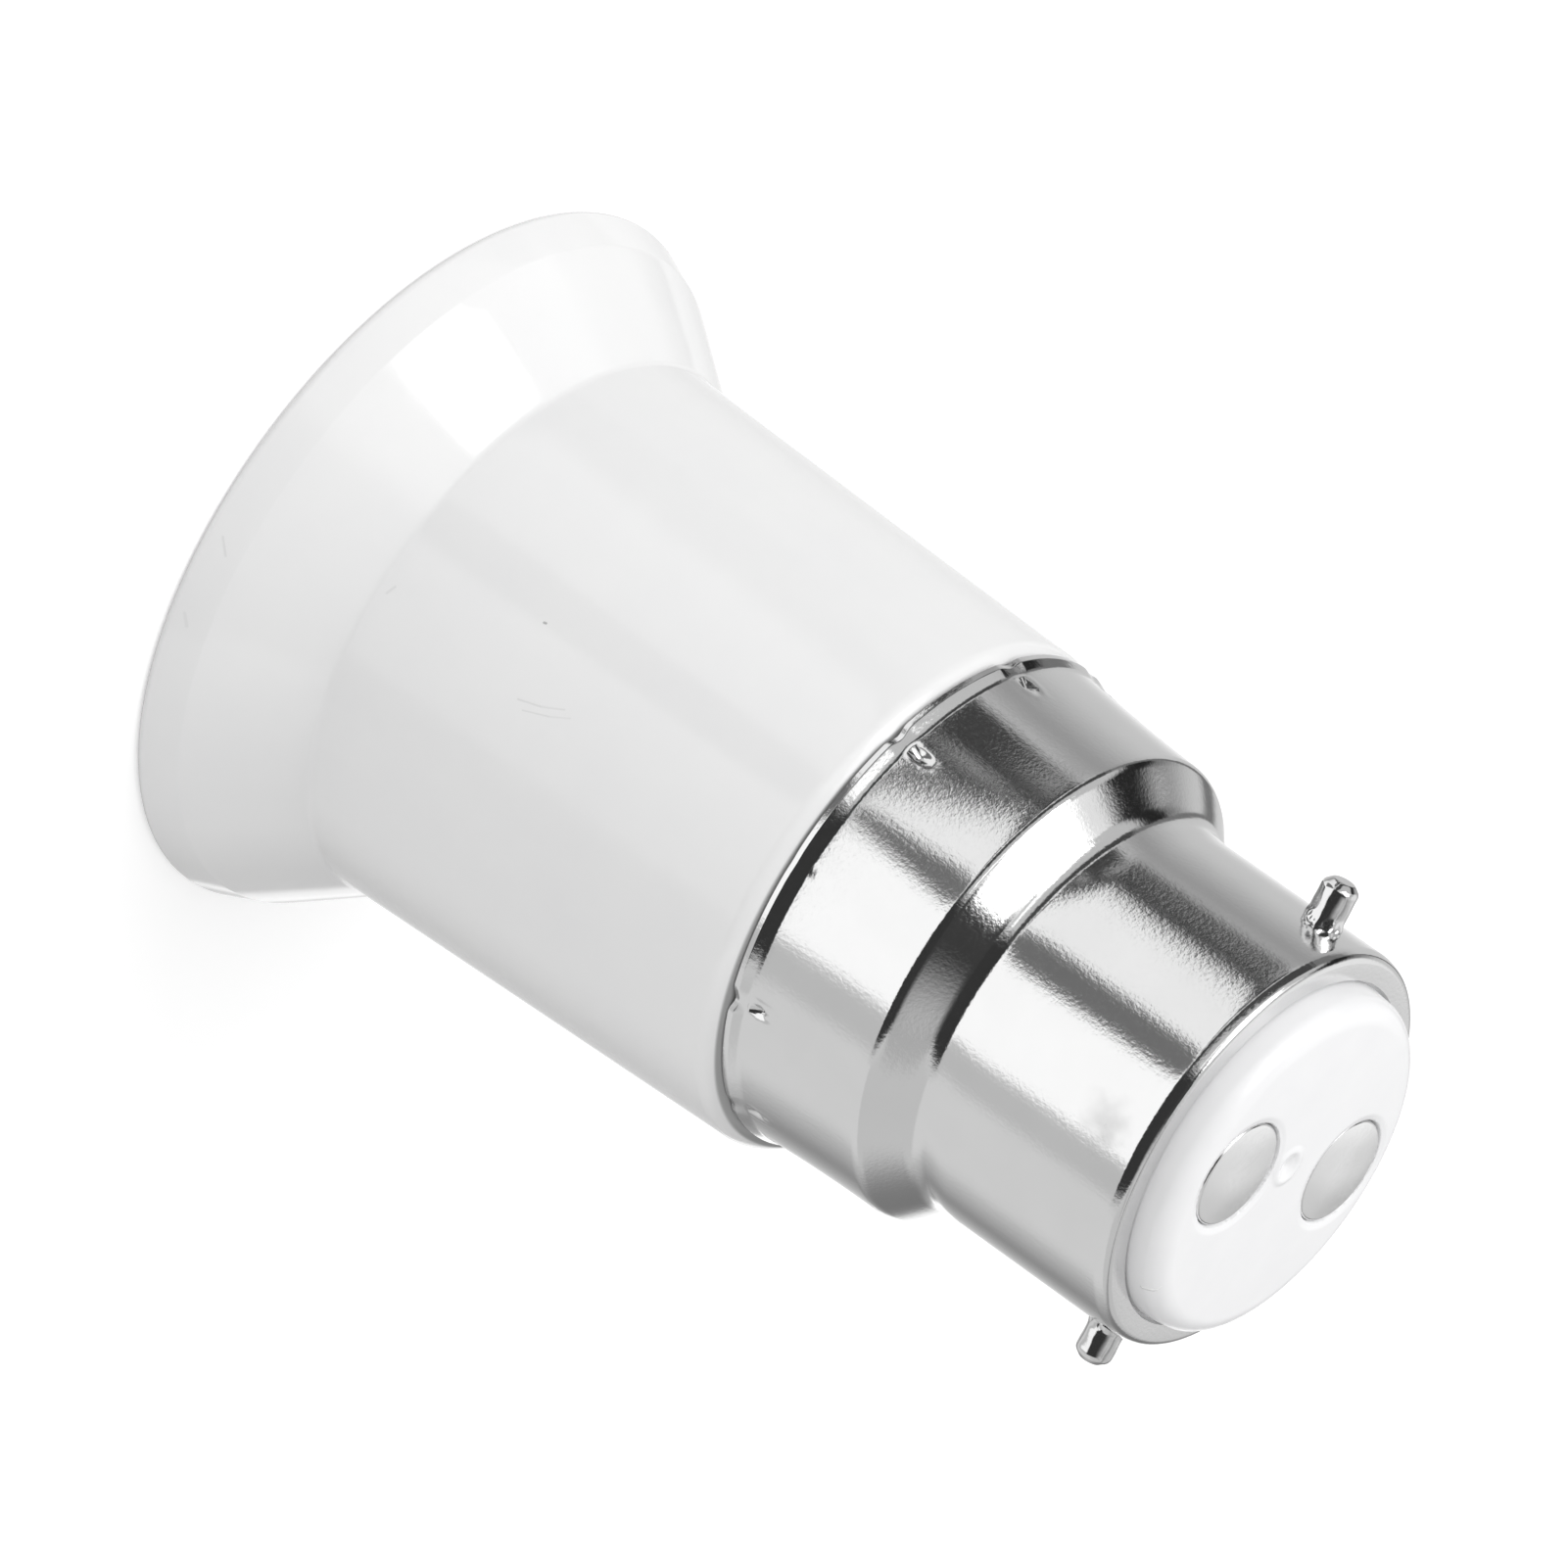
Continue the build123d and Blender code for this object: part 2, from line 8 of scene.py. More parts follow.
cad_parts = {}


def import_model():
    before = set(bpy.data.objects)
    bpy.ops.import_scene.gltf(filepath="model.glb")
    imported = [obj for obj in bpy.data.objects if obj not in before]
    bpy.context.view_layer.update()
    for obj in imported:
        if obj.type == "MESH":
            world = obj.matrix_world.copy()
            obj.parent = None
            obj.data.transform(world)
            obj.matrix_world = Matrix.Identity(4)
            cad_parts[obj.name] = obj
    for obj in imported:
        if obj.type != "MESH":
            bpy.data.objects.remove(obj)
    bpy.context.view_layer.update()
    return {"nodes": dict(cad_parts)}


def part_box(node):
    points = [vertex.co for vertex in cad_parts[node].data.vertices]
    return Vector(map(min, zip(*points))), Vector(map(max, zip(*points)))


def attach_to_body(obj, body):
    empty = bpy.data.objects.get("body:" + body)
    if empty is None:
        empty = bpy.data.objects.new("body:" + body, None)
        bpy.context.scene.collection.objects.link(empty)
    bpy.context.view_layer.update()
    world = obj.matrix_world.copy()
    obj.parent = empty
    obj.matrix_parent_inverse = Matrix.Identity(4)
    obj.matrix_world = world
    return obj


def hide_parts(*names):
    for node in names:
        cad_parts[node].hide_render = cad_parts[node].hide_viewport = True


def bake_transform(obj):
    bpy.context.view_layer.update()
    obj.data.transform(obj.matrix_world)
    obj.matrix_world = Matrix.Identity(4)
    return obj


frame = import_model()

# Lamp socket adapter: its looks. Sizes are in millimetres, in the frame's own axes: the adapter
# stands on its mouth, +Z runs to the bayonet end, the pins lie along Y and the contacts along X.
MM = 0.001
ADAPTER = "adapter"


def low(node):
    """Lowest corner of a solid, in millimetres."""
    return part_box(node)[0] / MM


def high(node):
    """Highest corner of a solid, in millimetres."""
    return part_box(node)[1] / MM


# Camera: fitted to the edges in the photograph
CAMERA_AZIMUTH = -17.25
CAMERA_DISTANCE = 578.7  # from the adapter's axis, level
CAMERA_HEIGHT = 313.8
CAMERA_AIM = (-0.361, -1.171, 23.806)
CAMERA_ROLL = 125.28
CAMERA_LENS = 307.3
SENSOR = 36.0

# Housing
MOUTH_D = 39.4
MOUTH_BAND = 2.2
BAND_TAPER = 1.9
NECK_HEIGHT = 7.4
NECK_D = 30.2
BODY_END_D = 28.4
BODY_LENGTH = 33.3
NECK_BLEND = 0.8
RIM_ROUND = 0.35
BAND_ROUND = 0.65
BODY_END_ROUND = 1.1
MOUTH_WALL = 1.6
FLOOR_Z = high("screw_shell").z
FLOOR_THICK = 2.2
PAD_HEIGHT = 1.0
PAD_RADIUS = 7.5
SPIGOT_END_Z = high("housing").z
SPIGOT_WALL = 1.1
SPIGOT_LEAD = 0.5
SPIGOT_REACH = 10.0  # the spigot lies outside this radius
SPIGOT_SLACK = 0.07  # it ends below the shoulder, where the skirt is this much wider
FLOOR_BLEND = 0.3
PAD_ROUND = 0.2
SHELL_GAP = 0.15  # shell to the housing's bore
SINK = 0.02  # how far the moulding is out of round, in three waves
DRAW = 0.012  # and in five

# Bayonet cap
SHEET = 0.38
LIP_Z = low("bayonet_cap").z
LIP_R = high("bayonet_cap").x
LIP_LENGTH = 0.85
LIP_BLEND = 0.8
LIP_ROLL = 0.28  # height of the lip's rolled edge
LIP_ROLL_ROUND = 0.2
SKIRT_R = 13.45
SKIRT_START_R = 13.47
SKIRT_END_R = 13.05
SKIRT_LENGTH = 8.18
SKIRT_HOLLOW = 0.07  # the skirt flares towards its lip, hollow by this much in the middle
SKIRT_OVAL = 0.012  # how far the skirt is out of round, in two waves
SKIRT_WAVE = 0.008  # and in five
SHOULDER_LENGTH = 1.95
SHOULDER_Z = LIP_Z + SKIRT_LENGTH
COLLAR_Z = SHOULDER_Z + SHOULDER_LENGTH
COLLAR_R = 11.0
CAP_END_Z = high("bayonet_cap").z
END_HOLE_R = 9.6
SHOULDER_ROUND = 0.9
SHOULDER_BLEND = 1.4
COLLAR_ROUND = 0.42
END_TAPER = 0.19  # the collar draws in by this much towards its end
END_TAPER_LENGTH = 0.65
END_TAPER_ROUND = 0.9
SKIRT_GAP = 0.12
PLAIN_RUN = 0.5  # longest run of the cap's outline, and the longest one at the punch marks
FINE_RUN = 0.065

# The cap sits a little askew on its housing: how far off the collar's axis it is at each height
LEAN_AZIMUTH = -107.0
LEAN_HEIGHTS = (LIP_Z, SHOULDER_Z, COLLAR_Z, COLLAR_Z + 1.5)
LEANS = (0.40, 0.20, 0.16, 0.0)

# Punch marks in the skirt
STAKES = 11
STAKE_START = 21.8
STAKE_Z = LIP_Z + 1.5
STAKE_R = 0.48
STAKE_DEPTH = 0.34
STAKE_RIM = 0.04
STAKE_SHARES = (1.3, 0.6, 0.9, 1.0, 0.8, 1.0, 0.9, 0.8, 1.0, 1.0, 0.12)  # how hard each was struck
STAKE_REACH = 0.6  # height above the marks that needs the finer mesh
STAKE_SPAN = 5.0  # and the angle on either side of one
STAKE_STEP = 0.3125
LIP_KINK = 0.16  # how far the lip is drawn in beside a punch mark
LIP_KINK_WIDTH = 0.9
LIP_KINK_HEIGHT = 1.3
LIP_LIFT = 0.10  # and lifted off the body
LIP_LIFT_WIDTH = 0.7

# Bayonet pins
PIN_R = 0.95
PIN_TIP = 0.35  # height of the tip's slope
PIN_TIP_DRAFT = 0.385  # and how far it draws in
PIN_TIP_ROUNDS = (0.42, 0.3)
PIN_HEAD_R = 1.35
PIN_HEAD_THICK = 0.3
PIN_HEAD_ROUNDS = (0.06, 0.04)
PIN_DENTS = 0.012
FLUTES = 9  # crimped round the root
FLUTE_DEPTH = 0.10
FLUTE_UNEVEN = 0.03
FLUTE_REACH = 0.55
FLUTE_PLACE = 0.15  # outside the collar

# End insulator and contacts
SOLID_LIP = 0.15  # height of the solid's lips round the contacts, which are shallow dishes here
FACE_Z = high("end_insulator").z - SOLID_LIP
FOOT_Z = low("end_insulator").z
FOOT_R = high("end_insulator").x
FOOT_THICK = 1.0
FLANGE_GAP = 0.65
FLANGE_THICK = 0.9
DISC_R = 9.45
DISC_DRAFT = 0.25
DISC_ROUND = 1.15
DISC_CROWN = 0.17  # how much lower the disc's edge is than its middle
STEM_R = 9.6
STEM_BORE_R = 8.5
ROOF_DEPTH = 2.6
RECESS_DEPTH = 0.85
RECESS_GAP = 0.09
RECESS_WALL = 0.12
RECESS_DISH = 0.08
DISH_GAP = 0.10
DISH_WIDTH = 0.40
DIMPLE_X = 0.85
DIMPLE_Y = -0.5
DIMPLE_R = 0.8
DIMPLE_DEPTH = 0.22
DIMPLE_RIM = 0.07
DIMPLE_RIM_GAP = 0.05
DIMPLE_RIM_WIDTH = 0.35
CONTACT_X = (low("end_contact_a").x + high("end_contact_a").x) / 2
CONTACT_R = high("end_contact_a").x - CONTACT_X
CONTACT_CROWN = 0.10
CONTACT_CROWN_POWER = 2.4  # flat in the middle and rolled at the edge
CONTACT_EDGE_ROUND = 0.16
CONTACT_HEAD_THICK = 0.5
CONTACT_SHANK_R = 1.1
CONTACT_TAIL_R = 1.7
CONTACT_TAIL_THICK = 0.45
CONTACT_TAIL_ROUND = 0.2
PRESS_MARKS = 0.012

# Screw shell
SHELL_R = high("screw_shell").x
SHELL_START = low("screw_shell").z
SHELL_SHEET = 0.3
SHELL_STEP_Z = 24.7
SHELL_BASE_Z = 25.8
SHELL_BASE_R = 12.4
SHELL_HOLE_R = 8.5
SHELL_BEND = 0.9
THREAD_PITCH = 25.4 / 7
THREAD_DEPTH = 1.15
THREAD_INSET = 0.6  # plain wall at each end of the thread
THREAD_FADE = 1.2

# Spring tongue under the lamp's centre contact, from its riveted foot to its free end
STRIP = 0.4
TONGUE_WIDTH = 5.6
TONGUE_RIVET_X = 5.0
TONGUE_FOOT = 2.3
TONGUE_BEND_X = 3.2
TONGUE_BEND_ROUND = 0.8
TONGUE_RUN = 4.4
TONGUE_RISE = 3.0
TONGUE_KNEE_ROUND = 1.0
TONGUE_TIP = 2.4
TONGUE_DROP = 0.9

# Rivets in the socket's floor
RIVET_HEAD_R = 1.4
RIVET_CROWN_R = 1.1
RIVET_HEAD_THICK = 0.7
RIVET_HEAD_ROUND = 0.25
RIVET_SHANK_R = 0.9
RIVET_TAIL_R = 1.3
RIVET_TAIL_DRAFT = 0.25
RIVET_TAIL_THICK = 0.5
RIVET_TAIL_ROUNDS = (0.1, 0.2)

# Marks of use: azimuth, radius and height of both ends, width and strength
PLASTIC_MARKS = [
    (-6.2, 14.78, 16.9, -7.6, 14.73, 18.2, 0.07, 0.16),  # two light scratches on the body
    (-7.6, 14.73, 18.2, -9.6, 14.69, 19.3, 0.07, 0.12),
    (-5.0, 14.76, 17.4, -6.9, 14.71, 18.8, 0.06, 0.14),
    (-6.9, 14.71, 18.8, -8.9, 14.68, 19.8, 0.06, 0.10),
    (-20.6, 14.79, 15.8, -20.7, 14.79, 15.9, 0.09, 0.60),  # dark speck
    (-1.0, 19.06, 1.5, -3.2, 19.25, 1.0, 0.10, 0.12),  # rubbed spots on the rim
    (11.3, 19.2, 1.2, 9.6, 19.3, 0.9, 0.14, 0.08),
    (-8.4, 15.08, 8.0, -10.2, 15.07, 8.2, 0.10, 0.12),  # and beside the neck
]
INSULATOR_MARKS = [
    (46.7, 9.3, 56.5, 46.3, 9.05, 57.2, 0.12, 1.0),  # a torn nick in the disc's edge, its colour painted white as a highlight along it
    (46.3, 9.05, 57.2, 45.0, 8.9, 57.35, 0.10, 0.8),
    (-8.4, 8.9, 57.38, -8.5, 8.88, 57.39, 0.10, 0.6),  # and a speck
]
SHADE_LINE_START = 0.24  # the painted shade line's soft edge under the cap's lip, below the end of the body
SHADE_LINE_END = 0.12
SHADE_LINE_STRENGTH = 0.75
SMUDGE_PLACE = (-1.5, 11.0, 53.1)  # dull spot on the collar: azimuth, radius and height

# Studio
FLOOR_SIZE = 3000.0
FLOOR_GLOW = 0.42
MIDDLE_Z = 28.0  # height that the key softbox is aimed at
AMBIENT = 0.88
AMBIENT_LOW_SWING = 0.30
AMBIENT_TOP_SWING = 1.0
TENT_LEVEL = 0.70  # brightness of the tent outside its panels

# The white tent and its dark flags, as metal sees them. Azimuths are from the camera's side:
# first and last azimuth, bottom and top elevation, softness, lean, taper and brightness
TENT = [
    (-90, -8, -90, -6, 10, 0.0, 0.0, 1.05),  # pale table in front, left of the camera
    (-8, 45, -90, -6, 6, 0.0, 0.0, 1.22),  # and right of it, nearer the lamp
    (45, 118, -90, 90, 6, 0.0, 0.0, 0.76),  # grey side
    (45, 64, -90, 10, 10, 0.0, 0.0, 0.61),  # its edge
    (128, 158, -90, 90, 44, 0.0, 0.0, 0.28),  # darker corner
    (173, 196, -90, -23, 20, 0.0, 0.0, 1.02),  # pale backdrop, right
    (158, 184, -22, 3, 6, 0.0, 0.0, 1.30),  # and higher up
    (184, 216, -90, -22, 16, 0.0, 0.0, 1.08),  # pale backdrop, left
    (-164, -112, -90, 90, 36, 0.0, 0.0, 0.66),  # left side
    (-116, -89, -90, 90, 44, 0.0, 0.0, 0.34),  # its darker end
    (-108, -20, 6, 75, 6, 0.0, 0.0, 0.62),  # softbox's spill
    (-108, -20, 37, 75, 6, 0.0, 0.0, 0.95),
    (-76, -41, 23, 46, 3, -0.4, 0.0, 1.70),  # softbox
    (-100, -38, 42, 76, 5, -0.4, 0.0, 1.70),  # its upper end
    (-46, -18, 23, 31, 5, 0.0, 0.0, 1.45),  # and its reflection lower down
    (-14, 58, -12, 48, 9, 0.0, 0.0, 0.04),  # dark flag in front
    (-24, 100, 44, 80, 9, 0.0, 0.0, 0.05),  # its upper part
    (42, 124, 50, 80, 60, 0.0, 0.0, 0.64),  # right of the flag
    (62, 124, 6, 52, 20, 0.0, 0.0, 0.64),
    (137, 178, -4, 60, 30, 0.0, 0.0, 0.22),  # corner of the right side
    (-140, -110, -2, 36, 24, 0.0, 0.0, 0.22),  # shade on the left
    (-126, -108, -2, 36, 7, 0.0, 0.0, 0.02),  # dark flag on the left
    (-100, -12, -9, 6, 4, 0.0, 0.0, 0.07),  # dark line of the table's edge
    (-190, -100, -8, 0, 4, 0.0, 0.0, 0.20),
    (-92, -72, -36, -23, 9, 0.0, 0.0, 0.08),  # dark flag beside the softbox
    (-80, -63, -36, -12, 8, 4.0, 0.0, 0.07),  # its leaning side
    (-87, -62, -22, -12, 8, 0.0, 0.0, 0.06),
    (-70, -48, -18, -12, 8, 0.0, 0.0, 0.06),
    (-32, 2, -60, -13, 5, 0.0, 0.66, 0.19),  # narrow dark flag, pointed at its top
    (140, 180, 20, 60, 16, 0.0, 0.0, 0.62),  # overhead at the back
    (180, 226, 20, 60, 16, 0.0, 0.0, 0.97),  # and its paler part
]


# Mesh building
def rounded(corners, closed=True, step=7.0):
    """Points of an outline whose corners are (radius, height, rounding); arcs turn step degrees a point."""
    points = []
    count = len(corners)
    for i, (x, y, rounding) in enumerate(corners):
        here = np.array((x, y), float)
        if rounding <= 0 or (not closed and i in (0, count - 1)):
            points.append(here)
            continue
        before = np.array(corners[i - 1][:2], float) - here
        after = np.array(corners[(i + 1) % count][:2], float) - here
        before /= np.linalg.norm(before)
        after /= np.linalg.norm(after)
        half = math.acos(np.clip(before @ after, -1, 1)) / 2
        bisector = (before + after) / np.linalg.norm(before + after)
        centre = here + bisector * rounding / math.sin(half)
        start = here + before * rounding / math.tan(half) - centre
        sweep = math.pi - 2 * half
        sign = 1 if start[1] * before[0] > start[0] * before[1] else -1
        parts = max(2, math.ceil(math.degrees(sweep) / step))
        for k in range(parts + 1):
            a = sign * sweep * k / parts
            across = start[0] * math.cos(a) - start[1] * math.sin(a)
            up = start[0] * math.sin(a) + start[1] * math.cos(a)
            points.append(centre + (across, up))
    return np.array(points)


def refined(points, longest, closed=True):
    """The outline with its long runs divided; longest(height) is the longest run allowed there."""
    out = []
    count = len(points)
    for i in range(count if closed else count - 1):
        a, b = points[i], points[(i + 1) % count]
        parts = max(1, math.ceil(np.linalg.norm(b - a) / longest((a[1] + b[1]) / 2)))
        out += [a + (b - a) * k / parts for k in range(parts)]
    if not closed:
        out.append(points[-1])
    return np.array(out)


def even_turns(count):
    """Angles round the axis, evenly spaced."""
    return np.arange(count) * 2 * math.pi / count


def skin(name, grid, wrap_rows=True, wrap_columns=True, sharp=38.0):
    """A mesh from a grid of points in millimetres, rows along the outline and columns round the axis."""
    rows, columns = grid.shape[:2]
    row = np.arange(rows if wrap_rows else rows - 1)[:, None]
    column = np.arange(columns if wrap_columns else columns - 1)[None, :]
    next_row = (row + 1) % rows
    next_column = (column + 1) % columns
    corners = [row * columns + column, row * columns + next_column]
    corners += [next_row * columns + next_column, next_row * columns + column]
    faces = np.stack([c + np.zeros_like(row * column) for c in corners], axis=-1).reshape(-1, 4)
    return solid(name, grid.reshape(-1, 3) * MM, faces, sharp)


def solid(name, points, faces, sharp=38.0):
    """An object from points in metres, with doubled points merged and its normals outwards."""
    mesh = bpy.data.meshes.new(name)
    mesh.from_pydata(points.tolist(), [], faces.tolist())
    work = bmesh_of(mesh)
    bmesh.ops.remove_doubles(work, verts=work.verts, dist=2e-7)
    bmesh.ops.recalc_face_normals(work, faces=work.faces)
    work.to_mesh(mesh)
    work.free()
    mesh.polygons.foreach_set("use_smooth", np.ones(len(mesh.polygons), bool))
    mesh.set_sharp_from_angle(angle=math.radians(sharp))
    piece = bpy.data.objects.new(name, mesh)
    bpy.context.scene.collection.objects.link(piece)
    return piece


def bmesh_of(mesh):
    """An editable copy of a mesh."""
    work = bmesh.new()
    work.from_mesh(mesh)
    return work


def turned(name, outline, turns, relief=None, sharp=38.0):
    """A closed outline turned about Z. relief(r, z, phi) returns the moved radius and height."""
    phi = np.asarray(turns)[None, :]
    r = outline[:, :1] + np.zeros_like(phi)
    z = outline[:, 1:] + np.zeros_like(phi)
    if relief:
        r, z = relief(r, z, phi + np.zeros_like(r))
    grid = np.stack([r * np.cos(phi), r * np.sin(phi), z], axis=-1)
    return skin(name, grid, sharp=sharp)


def bump(distance, width):
    """1 at no distance, falling smoothly to 0 at the width."""
    t = np.clip(1 - np.abs(distance) / width, 0, 1)
    return t * t * (3 - 2 * t)


def wrapped(angle):
    """An angle in radians brought between -pi and pi."""
    return (angle + math.pi) % (2 * math.pi) - math.pi


# Materials
class Graph:
    """Short ways to build a node tree."""

    def __init__(self, tree):
        self.tree = tree
        tree.nodes.clear()

    def node(self, kind, **settings):
        made = self.tree.nodes.new(kind)
        for name, value in settings.items():
            setattr(made, name, value)
        return made

    def join(self, source, socket):
        """Links an output to an input, or sets the input if the source is a plain value."""
        if isinstance(source, bpy.types.NodeSocket):
            self.tree.links.new(source, socket)
        else:
            socket.default_value = source

    def maths(self, operation, *values):
        made = self.node("ShaderNodeMath", operation=operation)
        for value, socket in zip(values, made.inputs):
            self.join(value, socket)
        return made.outputs[0]

    def vector(self, operation, *values, output=0):
        made = self.node("ShaderNodeVectorMath", operation=operation)
        for value, socket in zip(values, made.inputs):
            self.join(value, socket)
        return made.outputs[output]

    def ramp(self, value, start, end, first=0.0, last=1.0):
        """Goes smoothly from first to last while the value goes from start to end, and stays there."""
        made = self.node("ShaderNodeMapRange", interpolation_type="SMOOTHSTEP")
        for name, source in (("Value", value), ("From Min", start), ("From Max", end)):
            self.join(source, made.inputs[name])
        made.inputs["To Min"].default_value = first
        made.inputs["To Max"].default_value = last
        return made.outputs["Result"]

    def noise(self, place, size, detail=2.0, stretch=(1.0, 1.0, 1.0), roughness=0.5):
        """Noise whose features are about size millimetres across."""
        scaled = self.vector("MULTIPLY", place, tuple(s / (size * MM) for s in stretch))
        made = self.node("ShaderNodeTexNoise")
        made.inputs["Scale"].default_value = 1.0
        made.inputs["Detail"].default_value = detail
        made.inputs["Roughness"].default_value = roughness
        self.join(scaled, made.inputs["Vector"])
        return made.outputs["Fac"]

    def blend(self, factor, first, second):
        """A colour between two colours."""
        made = self.node("ShaderNodeMix", data_type="RGBA")
        self.join(factor, made.inputs["Factor"])
        self.join(first, made.inputs["A"])
        self.join(second, made.inputs["B"])
        return made.outputs["Result"]


def surface(name):
    """A material with its graph, principled shader and the place on the object in its own frame."""
    made = bpy.data.materials.new(name)
    made.use_nodes = True
    graph = Graph(made.node_tree)
    shader = graph.node("ShaderNodeBsdfPrincipled")
    out = graph.node("ShaderNodeOutputMaterial")
    graph.join(shader.outputs["BSDF"], out.inputs["Surface"])
    place = graph.node("ShaderNodeTexCoord").outputs["Object"]
    return made, graph, shader.inputs, place


def raise_up(graph, inputs, height, microns, normal=None):
    """A bump of so many thousandths of a millimetre for a height from 0 to 1."""
    made = graph.node("ShaderNodeBump")
    made.inputs["Strength"].default_value = 1.0
    made.inputs["Distance"].default_value = microns * MM * MM
    graph.join(height, made.inputs["Height"])
    if normal:
        graph.join(normal, made.inputs["Normal"])
    graph.join(made.outputs["Normal"], inputs["Normal"])
    return made.outputs["Normal"]


def around(angle, radius, z):
    """A place on the surface, in metres, from its angle in degrees, radius and height."""
    a = math.radians(angle)
    return radius * math.cos(a) * MM, radius * math.sin(a) * MM, z * MM


def scratch(graph, place, start, end, width):
    """1 on a thin line between two places on the surface, 0 away from it."""
    run = Vector(end) - Vector(start)
    offset = graph.vector("SUBTRACT", place, tuple(start))
    along = graph.vector("DOT_PRODUCT", offset, tuple(run), output=1)
    share = graph.maths("DIVIDE", along, run.length_squared)
    share = graph.maths("MINIMUM", graph.maths("MAXIMUM", share, 0.0), 1.0)
    reach = graph.node("ShaderNodeVectorMath", operation="SCALE")
    reach.inputs[0].default_value = tuple(run)
    graph.join(share, reach.inputs["Scale"])
    gap = graph.vector("DISTANCE", offset, reach.outputs[0], output=1)
    return graph.ramp(gap, width * MM, width * MM * 0.3)


def most(graph, values):
    """The largest of several values."""
    best = values[0]
    for value in values[1:]:
        best = graph.maths("MAXIMUM", best, value)
    return best


def white_plastic():
    """Glossy white moulding: faint mottling, soft orange peel, fine scuffs, a few marks of use, and a dark
    line of painted shade where the cap's lip shades the body's end.
    """
    made, graph, inputs, place = surface("white_plastic")
    mottle = graph.noise(place, 5.0, 3.0)
    colour = graph.blend(mottle, (0.86, 0.86, 0.865, 1), (0.90, 0.90, 0.895, 1))
    worn = worn_by(graph, place, PLASTIC_MARKS)
    height = graph.node("ShaderNodeSeparateXYZ")
    graph.join(place, height.inputs[0])
    # Painted shade: the body's end darkens under the cap's lip, where the lip's shadow falls, in the same
    # dark colour as the marks of use.
    first, last = (BODY_LENGTH - SHADE_LINE_START) * MM, (BODY_LENGTH - SHADE_LINE_END) * MM
    painted_shade = graph.ramp(height.outputs["Z"], first, last, 0.0, SHADE_LINE_STRENGTH)
    dark = graph.maths("MAXIMUM", painted_shade, worn)
    graph.join(graph.blend(dark, colour, (0.20, 0.20, 0.20, 1)), inputs["Base Color"])
    scuffs = graph.noise(place, 0.9, 4.0, (1.0, 1.0, 0.25))
    graph.join(graph.ramp(scuffs, 0.45, 0.75, 0.06, 0.13), inputs["Roughness"])
    inputs["IOR"].default_value = 1.5
    peel = graph.noise(place, 1.6, 2.0)
    normal = raise_up(graph, inputs, peel, 1.0)
    raise_up(graph, inputs, graph.maths("SUBTRACT", 1.0, worn), 20.0, normal)
    return made


def worn_by(graph, place, marks):
    """How strongly the marks of use show, from 0 to 1."""
    shown = []
    for first_angle, first_r, first_z, last_angle, last_r, last_z, width, strength in marks:
        start = around(first_angle, first_r, first_z)
        end = around(last_angle, last_r, last_z)
        shown.append(graph.maths("MULTIPLY", scratch(graph, place, start, end, width), strength))
    return most(graph, shown)


def insulator_plastic():
    """The end insulator's moulding: cleaner and a little bluer, with a soft satin gloss; its marks are
    painted white, a painted highlight on the torn nick.
    """
    made, graph, inputs, place = surface("insulator_plastic")
    mottle = graph.noise(place, 2.5, 3.0)
    nicks_and_highlight = worn_by(graph, place, INSULATOR_MARKS)
    clean = graph.blend(mottle, (0.87, 0.87, 0.88, 1), (0.92, 0.92, 0.925, 1))
    # Painted highlight: the marks' colour goes to white where light would catch the torn nick.
    graph.join(graph.blend(nicks_and_highlight, clean, (1.0, 1.0, 1.0, 1)), inputs["Base Color"])
    graph.join(graph.ramp(graph.noise(place, 0.7, 3.0), 0.3, 0.8, 0.17, 0.26), inputs["Roughness"])
    inputs["IOR"].default_value = 1.5
    normal = raise_up(graph, inputs, graph.noise(place, 1.1, 2.0), 2.0)
    raise_up(graph, inputs, nicks_and_highlight, 40.0, normal)
    return made


def bright_metal(name, colour, rough, grain_size, grain_microns, drawn_microns, smudge=0.0):
    """Bright plate: fine grain, drawing lines along the axis, cloudy changes of gloss and a dull spot."""
    made, graph, inputs, place = surface(name)
    cloud = graph.noise(place, 3.0, 3.0)
    dark = tuple(0.93 * c for c in colour) + (1,)
    away = graph.vector("DISTANCE", place, around(*SMUDGE_PLACE), output=1)
    away = graph.maths("ADD", away, graph.maths("MULTIPLY", graph.noise(place, 0.8, 3.0), 1.6 * MM))
    dull = graph.ramp(away, 2.6 * MM, 0.9 * MM, 0.0, smudge)
    plate = graph.blend(cloud, dark, colour + (1,))
    graph.join(graph.blend(dull, plate, tuple(0.70 * c for c in colour) + (1,)), inputs["Base Color"])
    inputs["Metallic"].default_value = 1.0
    fine = graph.noise(place, grain_size, 3.0, roughness=0.6)
    gloss = graph.ramp(fine, 0.35, 0.75, rough, rough * 1.8)
    graph.join(graph.maths("ADD", gloss, graph.maths("MULTIPLY", dull, 0.3)), inputs["Roughness"])
    normal = raise_up(graph, inputs, fine, grain_microns)
    drawn = graph.noise(place, 0.16, 2.0, (1.0, 1.0, 0.06))
    normal = raise_up(graph, inputs, drawn, drawn_microns, normal)
    waves = graph.noise(place, 4.0, 1.0, (1.0, 1.0, 0.6))
    raise_up(graph, inputs, waves, 9.0, normal)
    return made


def strip_metal(name, colour, rough):
    """Rolled strip or wire: lengthwise rolling lines and a slight tarnish."""
    made, graph, inputs, place = surface(name)
    tarnish = graph.noise(place, 1.5, 4.0)
    dull = tuple(0.72 * c for c in colour) + (1,)
    graph.join(graph.blend(graph.ramp(tarnish, 0.35, 0.75), colour + (1,), dull), inputs["Base Color"])
    inputs["Metallic"].default_value = 1.0
    rolled = graph.noise(place, 0.12, 2.0, (0.08, 1.0, 1.0))
    graph.join(graph.ramp(rolled, 0.3, 0.8, rough, rough * 1.7), inputs["Roughness"])
    raise_up(graph, inputs, rolled, 1.2)
    return made


